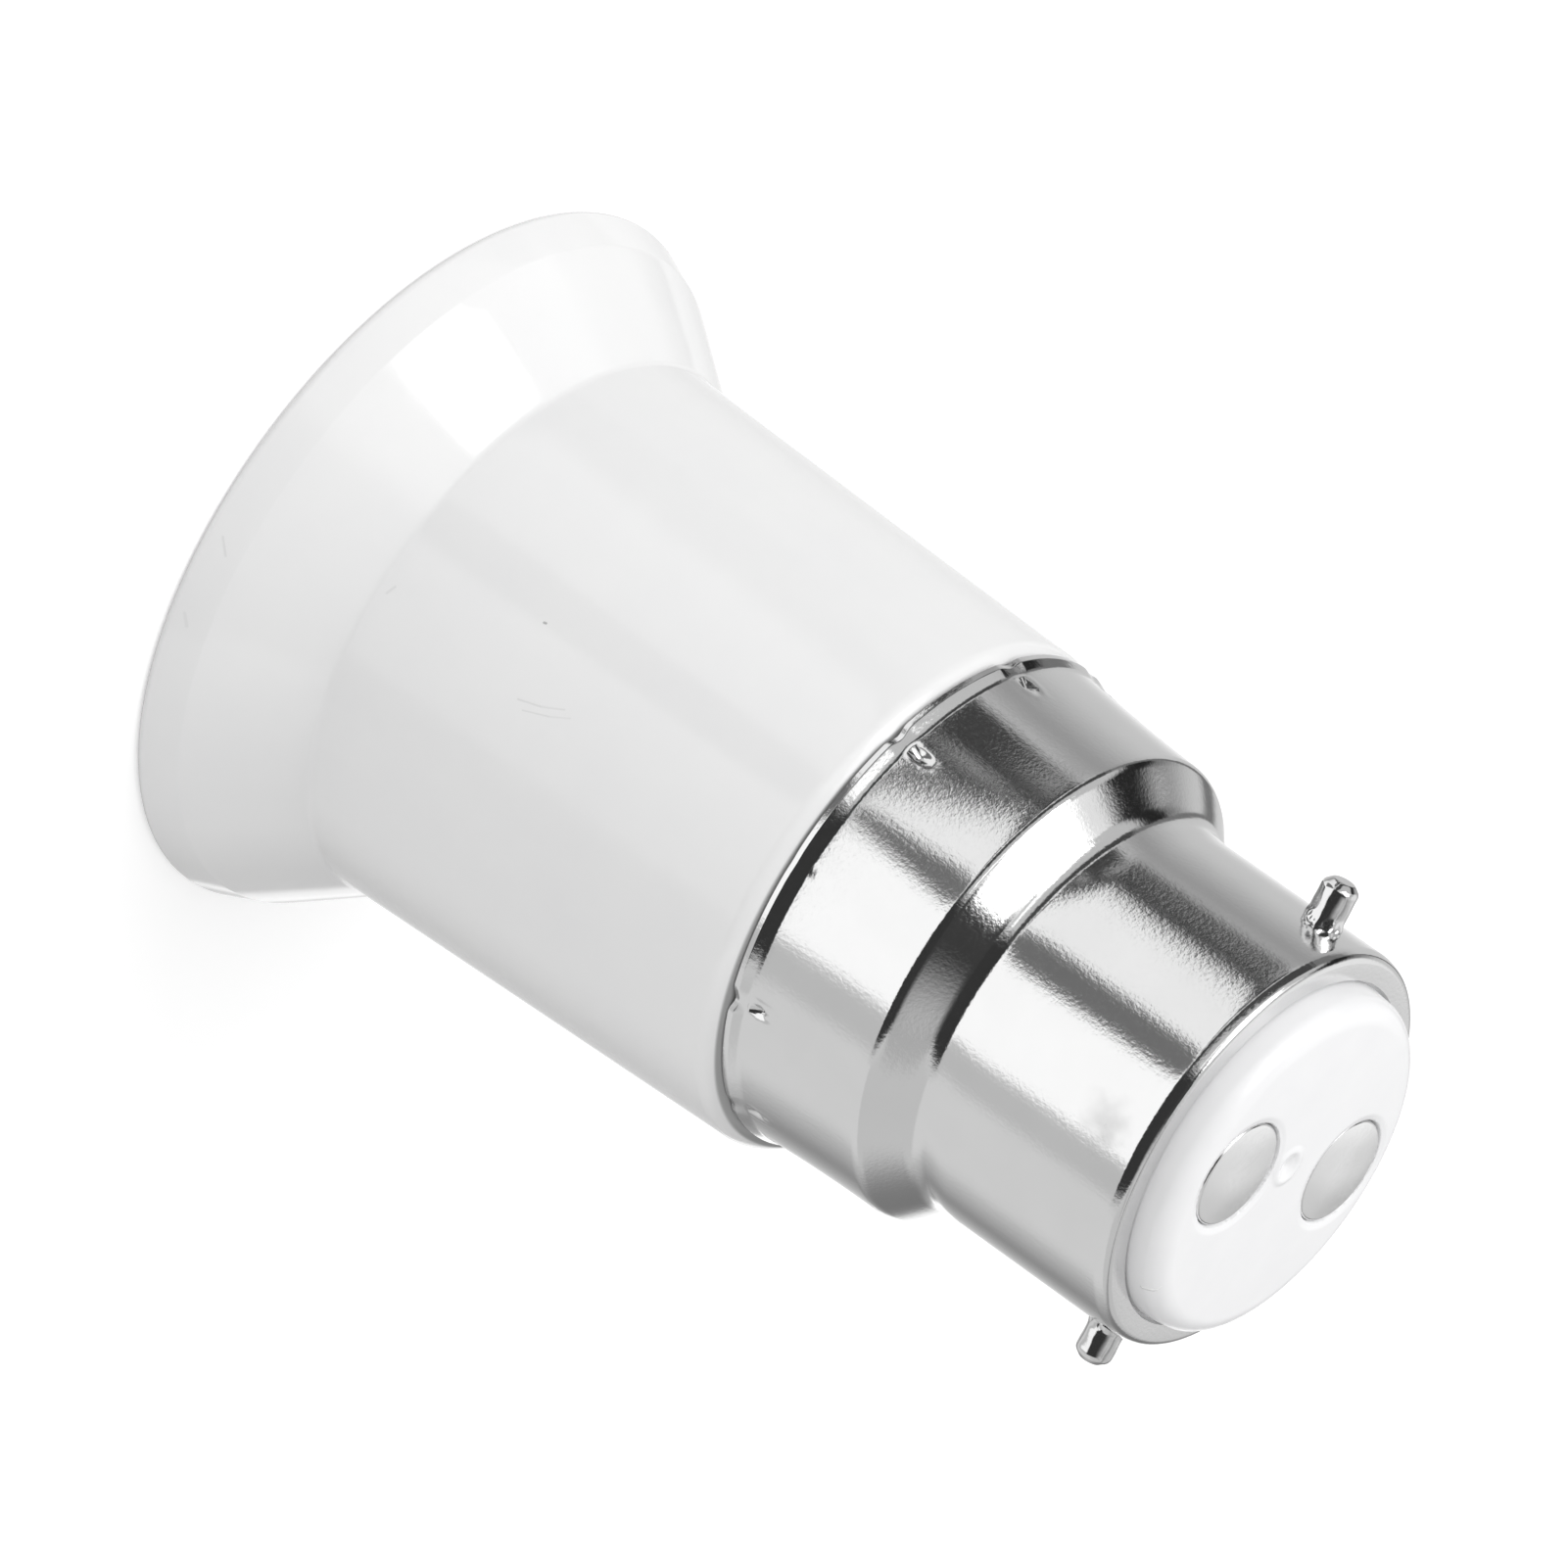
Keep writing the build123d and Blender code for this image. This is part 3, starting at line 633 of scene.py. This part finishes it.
def soft_sleeving(name, colour):
    """Extruded sleeving: matt, with a slight lengthwise streak."""
    made, graph, inputs, place = surface(name)
    streak = graph.noise(place, 0.5, 2.0, (1.0, 1.0, 0.15))
    light = tuple(min(1.0, 1.25 * c + 0.01) for c in colour) + (1,)
    graph.join(graph.blend(streak, colour + (1,), light), inputs["Base Color"])
    graph.join(graph.ramp(streak, 0.3, 0.8, 0.45, 0.6), inputs["Roughness"])
    raise_up(graph, inputs, graph.noise(place, 0.3, 2.0), 2.0)
    return made


# Pieces of the adapter
def housing():
    """The white moulding, with its flared mouth, drafted body, floor, pad and spigot."""
    spigot_r = SKIRT_R - SHEET - SKIRT_GAP
    spigot_end_r = SKIRT_END_R + SPIGOT_SLACK - SHEET - SKIRT_GAP
    bore_r = SHELL_R + SHELL_GAP
    band_top = (MOUTH_D - BAND_TAPER) / 2
    slope = (band_top - NECK_D / 2) / (NECK_HEIGHT - MOUTH_BAND)
    mouth_r = MOUTH_D / 2 - MOUTH_WALL
    bore_start = (mouth_r - bore_r) / slope + RIM_ROUND
    back = FLOOR_Z + FLOOR_THICK
    corners = [
        (MOUTH_D / 2, 0, RIM_ROUND),
        (band_top, MOUTH_BAND, BAND_ROUND),
        (NECK_D / 2, NECK_HEIGHT, NECK_BLEND),
        (BODY_END_D / 2, BODY_LENGTH, BODY_END_ROUND),
        (spigot_r, BODY_LENGTH, 0),
        (spigot_end_r, SPIGOT_END_Z - SPIGOT_LEAD, 0),
        (spigot_end_r - SPIGOT_LEAD, SPIGOT_END_Z, 0),
        (spigot_end_r - SPIGOT_WALL, SPIGOT_END_Z, 0),
        (spigot_end_r - SPIGOT_WALL, back, FLOOR_BLEND),
        (0, back, 0),
        (0, FLOOR_Z - PAD_HEIGHT, 0),
        (PAD_RADIUS, FLOOR_Z - PAD_HEIGHT, PAD_ROUND),
        (PAD_RADIUS, FLOOR_Z, 0),
        (SHELL_BASE_R + SHELL_GAP, FLOOR_Z, 0),
        (SHELL_BASE_R + SHELL_GAP, SHELL_BASE_Z, 0),
        (bore_r, SHELL_STEP_Z, 0),
        (bore_r, bore_start, NECK_BLEND + MOUTH_WALL),
        (mouth_r, 0, RIM_ROUND),
    ]
    outline = refined(rounded(corners, step=4.0), lambda z: 1.2)

    def relief(r, z, phi):
        """A moulding is never quite round: a few hundredths of sink, and the spigot follows the cap."""
        sink = SINK * np.sin(3 * phi + 0.6) + DRAW * np.sin(5 * phi + 0.05 * z)
        moved = r + sink * ((r > SHELL_R) & (z < BODY_LENGTH))
        inside_cap = (z > BODY_LENGTH + 0.01) & (r > SPIGOT_REACH)
        return np.where(inside_cap, moved + cap_offset(z, phi), moved), z

    return turned("housing_moulding", outline, even_turns(360), relief)


def cap_offset(z, phi):
    """How far the surface moves outwards where the cap sits askew."""
    return np.interp(z, LEAN_HEIGHTS, LEANS) * np.cos(phi - math.radians(LEAN_AZIMUTH))


def cap_turns():
    """Angles round the cap, closer together at the punch marks."""
    angles = []
    pitch = 360 / STAKES
    for number in range(STAKES):
        centre = STAKE_START + number * pitch
        angles += list(centre + np.arange(-STAKE_SPAN, STAKE_SPAN, STAKE_STEP))
        angles += list(np.linspace(centre + STAKE_SPAN, centre + pitch - STAKE_SPAN, 30, endpoint=False))
    return np.radians(angles)


def bayonet_cap():
    """The drawn cap: rolled lip, staked skirt, shoulder, collar and turned-in end ring."""
    outer = [
        (LIP_R, LIP_Z, 0),
        (LIP_R, LIP_Z + LIP_ROLL, LIP_ROLL_ROUND),
        (SKIRT_START_R, LIP_Z + LIP_LENGTH, LIP_BLEND),
        (SKIRT_END_R, SHOULDER_Z, SHOULDER_ROUND),
        (COLLAR_R, COLLAR_Z, SHOULDER_BLEND),
        (COLLAR_R, CAP_END_Z - END_TAPER_LENGTH, END_TAPER_ROUND),
        (COLLAR_R - END_TAPER, CAP_END_Z, COLLAR_ROUND),
        (END_HOLE_R, CAP_END_Z, 0),
    ]
    outside = refined(rounded(outer, closed=False, step=5.0), cap_run, closed=False)
    inside = offset_line(outside, SHEET)[::-1]
    outline = np.concatenate([outside, inside[::3], inside[-1:]])
    return turned("bayonet_cap_shell", outline, cap_turns(), cap_relief, sharp=50.0)


def cap_run(z):
    """Longest run of the cap's outline at a height: short at the punch marks."""
    return FINE_RUN if LIP_Z < z < STAKE_Z + STAKE_REACH else PLAIN_RUN


def offset_line(points, distance):
    """An open outline moved inwards by the sheet's thickness."""
    along = np.gradient(points, axis=0)
    along /= np.linalg.norm(along, axis=1)[:, None]
    return points + np.stack([-along[:, 1], along[:, 0]], axis=1) * distance


def cap_relief(r, z, phi):
    """Punch marks, the kinks of the lip beside them and the slight waves of drawn sheet."""
    down = np.clip((z - LIP_Z - LIP_LENGTH) / (SHOULDER_Z - LIP_Z - LIP_LENGTH), 0, 1)
    moved = r + cap_offset(z, phi) - SKIRT_HOLLOW * 4 * down * (1 - down)
    waves = SKIRT_OVAL * np.sin(2 * phi + 0.9) + SKIRT_WAVE * np.sin(5 * phi + 1.0)
    moved = moved + (1 - down) * waves
    height = z.copy()
    for number, share in enumerate(STAKE_SHARES):
        angle = math.radians(STAKE_START + number * 360 / STAKES)
        across = wrapped(phi - angle) * SKIRT_R
        away = np.hypot(across, (z - STAKE_Z))
        moved = moved - share * STAKE_DEPTH * bump(away, STAKE_R)
        moved = moved + share * STAKE_RIM * bump(away - STAKE_R * 1.2, STAKE_R * 0.4)
        near_lip = share * bump(z - LIP_Z, LIP_KINK_HEIGHT)
        moved = moved - LIP_KINK * bump(across, LIP_KINK_WIDTH) * near_lip
        height = height + LIP_LIFT * bump(across, LIP_LIFT_WIDTH) * near_lip
    return moved, height


def bayonet_pin(name, side):
    """A pin with a rounded tip, the crimped flutes round its root and its inner head."""
    lo, hi = low(name), high(name)
    z = (lo.z + hi.z) / 2
    inner = min(abs(lo.y), abs(hi.y))
    tip = max(abs(lo.y), abs(hi.y))
    corners = [
        (0, inner, 0),
        (PIN_HEAD_R, inner, PIN_HEAD_ROUNDS[0]),
        (PIN_HEAD_R, inner + PIN_HEAD_THICK, PIN_HEAD_ROUNDS[1]),
        (PIN_R, inner + PIN_HEAD_THICK, 0),
        (PIN_R, tip - PIN_TIP, PIN_TIP_ROUNDS[0]),
        (PIN_R - PIN_TIP_DRAFT, tip, PIN_TIP_ROUNDS[1]),
        (0, tip, 0),
    ]
    outline = refined(rounded(corners), lambda height: 0.08)

    def relief(r, along, phi):
        """Crimped flutes where the pin leaves the collar, and small dents all over its side."""
        side_wall = r > 0.9 * PIN_R
        root = bump(along - COLLAR_R - FLUTE_PLACE, FLUTE_REACH) * side_wall
        flutes = FLUTE_DEPTH * np.abs(np.sin(FLUTES / 2 * phi + 0.4))
        flutes = flutes + FLUTE_UNEVEN * np.sin(3 * phi + 7 * along)
        dents = PIN_DENTS * np.sin(4 * phi + 2.1 * along) * np.sin(3.3 * along)
        return r + root * flutes + dents * side_wall, along

    pin = turned(f"{name}_turned", outline, even_turns(64), relief)
    swing = Matrix.Rotation(math.radians(-90 * side), 4, "X")
    pin.data.transform(Matrix.Translation((0, 0, z * MM)) @ swing)
    return pin


def end_insulator():
    """The insulator: soft-edged disc with its contact recesses and gate dimple, flange, stem and foot."""
    ring_face = CAP_END_Z - SHEET
    flange_r = COLLAR_R - FLANGE_GAP
    roof = FACE_Z - ROOF_DEPTH
    corners = [
        (0, FACE_Z, 0),
        (DISC_R - DISC_DRAFT, FACE_Z, DISC_ROUND),
        (DISC_R, ring_face, 0),
        (flange_r, ring_face, 0),
        (flange_r, ring_face - FLANGE_THICK, 0),
        (STEM_R, ring_face - FLANGE_THICK, 0),
        (STEM_R, FOOT_Z + FOOT_THICK, 0),
        (FOOT_R, FOOT_Z + FOOT_THICK, 0),
        (FOOT_R, FOOT_Z, 0),
        (STEM_BORE_R, FOOT_Z, 0),
        (STEM_BORE_R, roof, 0),
        (0, roof, 0),
    ]
    outline = refined(rounded(corners, step=5.0), lambda z: 0.07 if z > FACE_Z - 0.05 else 1.5)
    return turned("end_insulator_moulding", outline, even_turns(520), insulator_relief, sharp=60.0)


def insulator_relief(r, z, phi):
    """Recesses of the contacts, the gate dimple with its rim, and a slight crown of the disc."""
    face = np.clip((z - (FACE_Z - 0.02)) / 0.02, 0, 1)
    x, y = r * np.cos(phi), r * np.sin(phi)
    move = np.zeros_like(r)
    for centre in (CONTACT_X, -CONTACT_X):
        away = np.hypot(x - centre, y)
        move = move - RECESS_DISH * bump(away - CONTACT_R - DISH_GAP, DISH_WIDTH)
        move = move - RECESS_DEPTH * np.clip((CONTACT_R + RECESS_GAP - away) / RECESS_WALL, 0, 1)
    crater = np.hypot(x - DIMPLE_X, y - DIMPLE_Y)
    move = move - DIMPLE_DEPTH * bump(crater, DIMPLE_R)
    move = move + DIMPLE_RIM * bump(crater - DIMPLE_R - DIMPLE_RIM_GAP, DIMPLE_RIM_WIDTH)
    crowned = np.clip((z - CAP_END_Z) / (FACE_Z - CAP_END_Z), 0, 1)
    return r, z + face * move - DISC_CROWN * crowned * (r / DISC_R) ** 2


def end_contact(name):
    """A contact rivet: domed head with a rolled edge, shank, and its tail clenched on the tag."""
    lo, hi = low(name), high(name)
    edge, under = hi.z - CONTACT_CROWN, hi.z - CONTACT_CROWN - CONTACT_HEAD_THICK
    corners = [
        (0, lo.z, 0),
        (CONTACT_TAIL_R, lo.z, CONTACT_TAIL_ROUND),
        (CONTACT_TAIL_R, lo.z + CONTACT_TAIL_THICK, 0),
        (CONTACT_SHANK_R, lo.z + CONTACT_TAIL_THICK, 0),
        (CONTACT_SHANK_R, under, 0),
        (CONTACT_R, under, 0),
        (CONTACT_R, edge, CONTACT_EDGE_ROUND),
    ]
    body = refined(rounded(corners + [(0, hi.z, 0)], step=6.0)[:-1], lambda z: 0.3, closed=False)
    r = np.linspace(body[-1][0], 0, 34)
    bulge = 1 - (r / r[0]) ** CONTACT_CROWN_POWER
    dome = np.stack([r, body[-1][1] + (hi.z - body[-1][1]) * bulge], axis=1)

    def relief(radius, z, phi):
        """Faint dishing and press marks on the head."""
        x, y = radius * np.cos(phi), radius * np.sin(phi)
        top = np.clip((z - edge) / (hi.z - edge), 0, 1)
        return radius, z + top * PRESS_MARKS * (np.sin(1.3 * x + 0.7) + np.sin(1.7 * y - 0.4))

    head = turned(f"{name}_formed", np.concatenate([body[:-1], dome]), even_turns(160), relief)
    head.data.transform(Matrix.Translation(((lo.x + hi.x) / 2 * MM, 0, 0)))
    return head


def screw_shell():
    """The drawn shell with its right-hand knuckle thread, step, plain base and ring."""
    outer = [
        (SHELL_R, SHELL_START, 0),
        (SHELL_R, SHELL_STEP_Z, SHELL_BEND / 2),
        (SHELL_BASE_R, SHELL_BASE_Z, SHELL_BEND / 2),
        (SHELL_BASE_R, FLOOR_Z, SHELL_BEND),
        (SHELL_HOLE_R, FLOOR_Z, 0),
    ]
    outside = refined(rounded(outer, closed=False, step=9.0), lambda z: 0.22, closed=False)
    outline = np.concatenate([outside, offset_line(outside, SHELL_SHEET)[::-1]])
    return turned("screw_shell_threaded", outline, even_turns(240), thread_relief, sharp=60.0)


def thread_relief(r, z, phi):
    """The rolled thread: a rounded wave that climbs one pitch a turn and fades at both ends."""
    wave = (1 - np.cos(2 * math.pi * (z / THREAD_PITCH - phi / (2 * math.pi)))) / 2
    rise = np.clip((z - SHELL_START - THREAD_INSET) / THREAD_FADE, 0, 1)
    fade = rise * np.clip((SHELL_STEP_Z - THREAD_INSET - z) / THREAD_FADE, 0, 1)
    return r - THREAD_DEPTH * wave * fade * fade * (3 - 2 * fade), z


def centre_contact():
    """The spring tongue, in fine strips across its bend."""
    pad_z = FLOOR_Z - PAD_HEIGHT
    knee_x, knee_z = TONGUE_BEND_X - TONGUE_RUN, pad_z - TONGUE_RISE
    course = [
        (TONGUE_RIVET_X + TONGUE_FOOT, pad_z, 0),
        (TONGUE_BEND_X, pad_z, TONGUE_BEND_ROUND),
        (knee_x, knee_z, TONGUE_KNEE_ROUND),
        (knee_x - TONGUE_TIP, knee_z + TONGUE_DROP, 0),
    ]
    line = refined(rounded(course, closed=False, step=6.0), lambda z: 0.2, closed=False)
    under = offset_line(line, STRIP)
    half = TONGUE_WIDTH / 2
    ends = (line[0][0], line[-1][0])
    sides = np.linspace(-1, 1, 25)
    rows = []
    for (x, z), (u, w) in zip(line, under):
        into = min(1.0, min(abs(x - ends[0]), abs(x - ends[1])) / half)
        width = max(half * math.sqrt(1 - (1 - into) ** 2), 0.05)
        ring = [(x, width * s, z) for s in sides]
        ring += [(u, width * s, w) for s in sides[::-1]]
        rows.append(ring)
    strip = skin("centre_contact_strip", np.array(rows, float), wrap_rows=False)
    close_ends(strip)
    return strip


def close_ends(piece):
    """Closes the two open ends of a strip."""
    work = bmesh_of(piece.data)
    edges = [e for e in work.edges if e.is_boundary]
    bmesh.ops.holes_fill(work, edges=edges, sides=0)
    bmesh.ops.recalc_face_normals(work, faces=work.faces)
    work.to_mesh(piece.data)
    work.free()


def floor_rivet(name):
    """A rivet with a domed, slightly flattened head in the socket and a clenched tail behind."""
    lo, hi = low(name), high(name)
    x, y = (lo.x + hi.x) / 2, (lo.y + hi.y) / 2
    corners = [
        (0, lo.z, 0),
        (RIVET_CROWN_R, lo.z, RIVET_HEAD_ROUND),
        (RIVET_HEAD_R, lo.z + RIVET_HEAD_THICK, 0),
        (RIVET_SHANK_R, lo.z + RIVET_HEAD_THICK, 0),
        (RIVET_SHANK_R, hi.z - RIVET_TAIL_THICK, 0),
        (RIVET_TAIL_R, hi.z - RIVET_TAIL_THICK, RIVET_TAIL_ROUNDS[0]),
        (RIVET_TAIL_R - RIVET_TAIL_DRAFT, hi.z, RIVET_TAIL_ROUNDS[1]),
        (0, hi.z, 0),
    ]
    rivet = turned(f"{name}_formed", refined(rounded(corners, step=9.0), lambda z: 0.3), even_turns(64))
    rivet.data.transform(Matrix.Translation((x * MM, y * MM, 0)))
    return rivet


def dress(piece, material, node):
    """Gives a piece its material and hides the solid it stands for."""
    piece.data.materials.append(material)
    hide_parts(node)


def attach(piece, material, node):
    """Dresses a piece that rides on the adapter."""
    dress(piece, material, node)
    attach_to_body(piece, ADAPTER)


def repaint(node, material):
    """Gives a solid that stays a procedural material."""
    mesh = frame["nodes"][node].data
    mesh.materials.clear()
    mesh.materials.append(material)
    mesh.polygons.foreach_set("use_smooth", np.ones(len(mesh.polygons), bool))
    mesh.set_sharp_from_angle(angle=math.radians(32))


def build():
    """All pieces of the adapter."""
    plastic = white_plastic()
    nickel = bright_metal("nickel_plate", (0.80, 0.80, 0.80), 0.07, 0.20, 6.5, 1.8, smudge=0.5)
    pin_plate = bright_metal("pin_metal", (0.76, 0.76, 0.76), 0.08, 0.2, 4.0, 1.0)
    contact_plate = bright_metal("contact_metal", (0.93, 0.93, 0.93), 0.14, 0.3, 1.5, 0.0)
    shell_plate = bright_metal("shell_metal", (0.76, 0.76, 0.75), 0.16, 0.2, 1.6, 0.8)
    rivet_plate = bright_metal("rivet_metal", (0.72, 0.72, 0.71), 0.20, 0.12, 1.4, 0.6)
    bronze = strip_metal("spring_bronze", (0.78, 0.58, 0.34), 0.20)
    brass = strip_metal("tag_brass", (0.80, 0.66, 0.38), 0.22)
    copper = strip_metal("copper", (0.82, 0.48, 0.34), 0.25)
    solder = strip_metal("solder", (0.70, 0.71, 0.72), 0.24)
    live = soft_sleeving("live_sleeving", (0.55, 0.06, 0.05))
    neutral = soft_sleeving("neutral_sleeving", (0.04, 0.04, 0.05))

    attach(housing(), plastic, "housing")
    attach(bayonet_cap(), nickel, "bayonet_cap")
    attach(bayonet_pin("bayonet_pin_a", 1), pin_plate, "bayonet_pin_a")
    attach(bayonet_pin("bayonet_pin_b", -1), pin_plate, "bayonet_pin_b")
    attach(end_insulator(), insulator_plastic(), "end_insulator")
    attach(screw_shell(), shell_plate, "screw_shell")
    for node in ("shell_rivet_a", "shell_rivet_b", "centre_rivet"):
        attach(floor_rivet(node), rivet_plate, node)
    for node in ("end_contact_a", "end_contact_b"):
        attach(end_contact(node), contact_plate, node)

    tongue = centre_contact()
    dress(tongue, bronze, "centre_contact")
    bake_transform(tongue)

    for node in ("contact_tag_a", "contact_tag_b", "shell_tag", "centre_tag"):
        repaint(node, brass)
    for node in ("live_wire", "neutral_wire"):
        repaint(node, copper)
    for node in ("solder_live_end", "solder_live_floor", "solder_neutral_end", "solder_neutral_floor"):
        repaint(node, solder)
    repaint("live_sleeve", live)
    repaint("neutral_sleeve", neutral)


# Studio
def degrees_of(graph):
    """Azimuth from the camera's side and elevation of a direction of the surroundings, in degrees."""
    direction = graph.node("ShaderNodeTexCoord").outputs["Generated"]
    parts = graph.node("ShaderNodeSeparateXYZ")
    graph.join(direction, parts.inputs[0])
    x, y, z = parts.outputs
    azimuth = graph.maths("MULTIPLY", graph.maths("ARCTAN2", y, x), 180 / math.pi)
    azimuth = graph.maths("SUBTRACT", azimuth, CAMERA_AZIMUTH)
    elevation = graph.maths("MULTIPLY", graph.maths("ARCSINE", z), 180 / math.pi)
    return azimuth, elevation


def panel(graph, azimuth, elevation, level, first, last, bottom, top, soft, lean, taper, shade):
    """A panel of the tent: between two azimuths and two elevations, with soft, leaning or tapering sides."""
    centre, half = (first + last) / 2, (last - first) / 2
    middle = (bottom + top) / 2
    above = graph.maths("SUBTRACT", elevation, middle)
    leaning = graph.maths("MULTIPLY", above, lean)
    across = graph.maths("SUBTRACT", graph.maths("SUBTRACT", azimuth, centre), leaning)
    across = graph.maths("ABSOLUTE", graph.maths("WRAP", across, 180.0, -180.0))
    across = graph.maths("ADD", across, graph.maths("MULTIPLY", above, taper))
    beside = graph.ramp(across, half + soft / 2, half - soft / 2)
    upright = graph.maths("ABSOLUTE", above)
    tall = (top - bottom) / 2
    within = graph.ramp(upright, tall + soft / 4, tall - soft / 4)
    mask = graph.maths("MULTIPLY", beside, within)
    change = graph.maths("MULTIPLY", mask, graph.maths("SUBTRACT", shade, level))
    return graph.maths("ADD", level, change)


def world():
    """White for the camera, an even light on the object, and the tent for metal."""
    made = bpy.data.worlds.new("studio")
    made.use_nodes = True
    bpy.context.scene.world = made
    graph = Graph(made.node_tree)
    azimuth, elevation = degrees_of(graph)
    level = TENT_LEVEL
    for row in TENT:
        level = panel(graph, azimuth, elevation, level, *row)
    rays = graph.node("ShaderNodeLightPath").outputs
    ambient = ambient_level(graph, elevation)
    light = graph.maths("MULTIPLY", rays["Is Glossy Ray"], graph.maths("SUBTRACT", level, ambient))
    light = graph.maths("ADD", light, ambient)
    seen = graph.maths("MAXIMUM", rays["Is Camera Ray"], rays["Is Transmission Ray"])
    light = graph.maths("ADD", light, graph.maths("MULTIPLY", seen, graph.maths("SUBTRACT", 1.0, light)))
    back = graph.node("ShaderNodeBackground")
    back.inputs["Color"].default_value = (1, 1, 1, 1)
    graph.join(light, back.inputs["Strength"])
    out = graph.node("ShaderNodeOutputWorld")
    graph.join(back.outputs[0], out.inputs["Surface"])


def ambient_level(graph, elevation):
    """The even light: brighter at the top on the left of the camera and low down on its right."""
    a = math.radians(CAMERA_AZIMUTH + 90)
    direction = graph.node("ShaderNodeTexCoord").outputs["Generated"]
    side = graph.vector("DOT_PRODUCT", direction, (math.cos(a), math.sin(a), 0), output=1)
    share = graph.ramp(elevation, 15, 40, AMBIENT_LOW_SWING, -AMBIENT_TOP_SWING)
    return graph.maths("ADD", AMBIENT, graph.maths("MULTIPLY", side, share))


def softbox(name, azimuth, elevation, distance, width, height, radiance):
    """A rectangular lamp aimed at the adapter's middle; azimuth is from the camera's side."""
    data = bpy.data.lights.new(name, "AREA")
    data.shape = "RECTANGLE"
    data.size = width * MM
    data.size_y = height * MM
    data.energy = radiance * math.pi * width * height * MM * MM
    lamp = bpy.data.objects.new(name, data)
    bpy.context.scene.collection.objects.link(lamp)
    a, e = math.radians(azimuth + CAMERA_AZIMUTH), math.radians(elevation)
    place = Vector((math.cos(e) * math.cos(a), math.cos(e) * math.sin(a), math.sin(e))) * distance
    lamp.location = (place + Vector((0, 0, MIDDLE_Z))) * MM
    lamp.rotation_euler = (-place).to_track_quat("-Z", "Y").to_euler()
    lamp.visible_camera = False


def floor():
    """A plain pale floor that keeps the shadow; metal sees the tent instead."""
    grid = np.array([[(x, y, 0.0) for x in (-FLOOR_SIZE, FLOOR_SIZE)] for y in (-FLOOR_SIZE, FLOOR_SIZE)])
    made = bpy.data.materials.new("floor")
    made.use_nodes = True
    graph = Graph(made.node_tree)
    paint = graph.node("ShaderNodeBsdfDiffuse")
    paint.inputs["Color"].default_value = (0.74, 0.74, 0.74, 1)
    glow = graph.node("ShaderNodeEmission")
    seen = graph.node("ShaderNodeLightPath").outputs["Is Camera Ray"]
    graph.join(graph.maths("MULTIPLY", seen, FLOOR_GLOW), glow.inputs["Strength"])
    both = graph.node("ShaderNodeAddShader")
    graph.join(paint.outputs[0], both.inputs[0])
    graph.join(glow.outputs[0], both.inputs[1])
    out = graph.node("ShaderNodeOutputMaterial")
    graph.join(both.outputs[0], out.inputs["Surface"])
    sheet = skin("studio_floor", grid, wrap_rows=False, wrap_columns=False)
    sheet.data.materials.append(made)
    sheet.visible_glossy = False


def camera():
    """The photograph's view, from the fit to its edges."""
    data = bpy.data.cameras.new("camera")
    data.sensor_width = SENSOR
    data.lens = CAMERA_LENS
    data.clip_start = 0.01
    data.clip_end = 20.0
    eye = bpy.data.objects.new("camera", data)
    bpy.context.scene.collection.objects.link(eye)
    a = math.radians(CAMERA_AZIMUTH)
    place = Vector((CAMERA_DISTANCE * math.cos(a), CAMERA_DISTANCE * math.sin(a), CAMERA_HEIGHT))
    look = (Vector(CAMERA_AIM) - place).to_track_quat("-Z", "Y")
    roll = Matrix.Rotation(math.radians(CAMERA_ROLL), 4, "Z")
    eye.matrix_world = Matrix.Translation(place * MM) @ look.to_matrix().to_4x4() @ roll
    bpy.context.scene.camera = eye


def studio():
    """Camera, surroundings, key softbox and floor."""
    camera()
    world()
    softbox("key", azimuth=-62, elevation=48, distance=620, width=350, height=500, radiance=1.7)
    floor()
    bpy.context.scene.view_settings.view_transform = "Standard"


studio()
build()
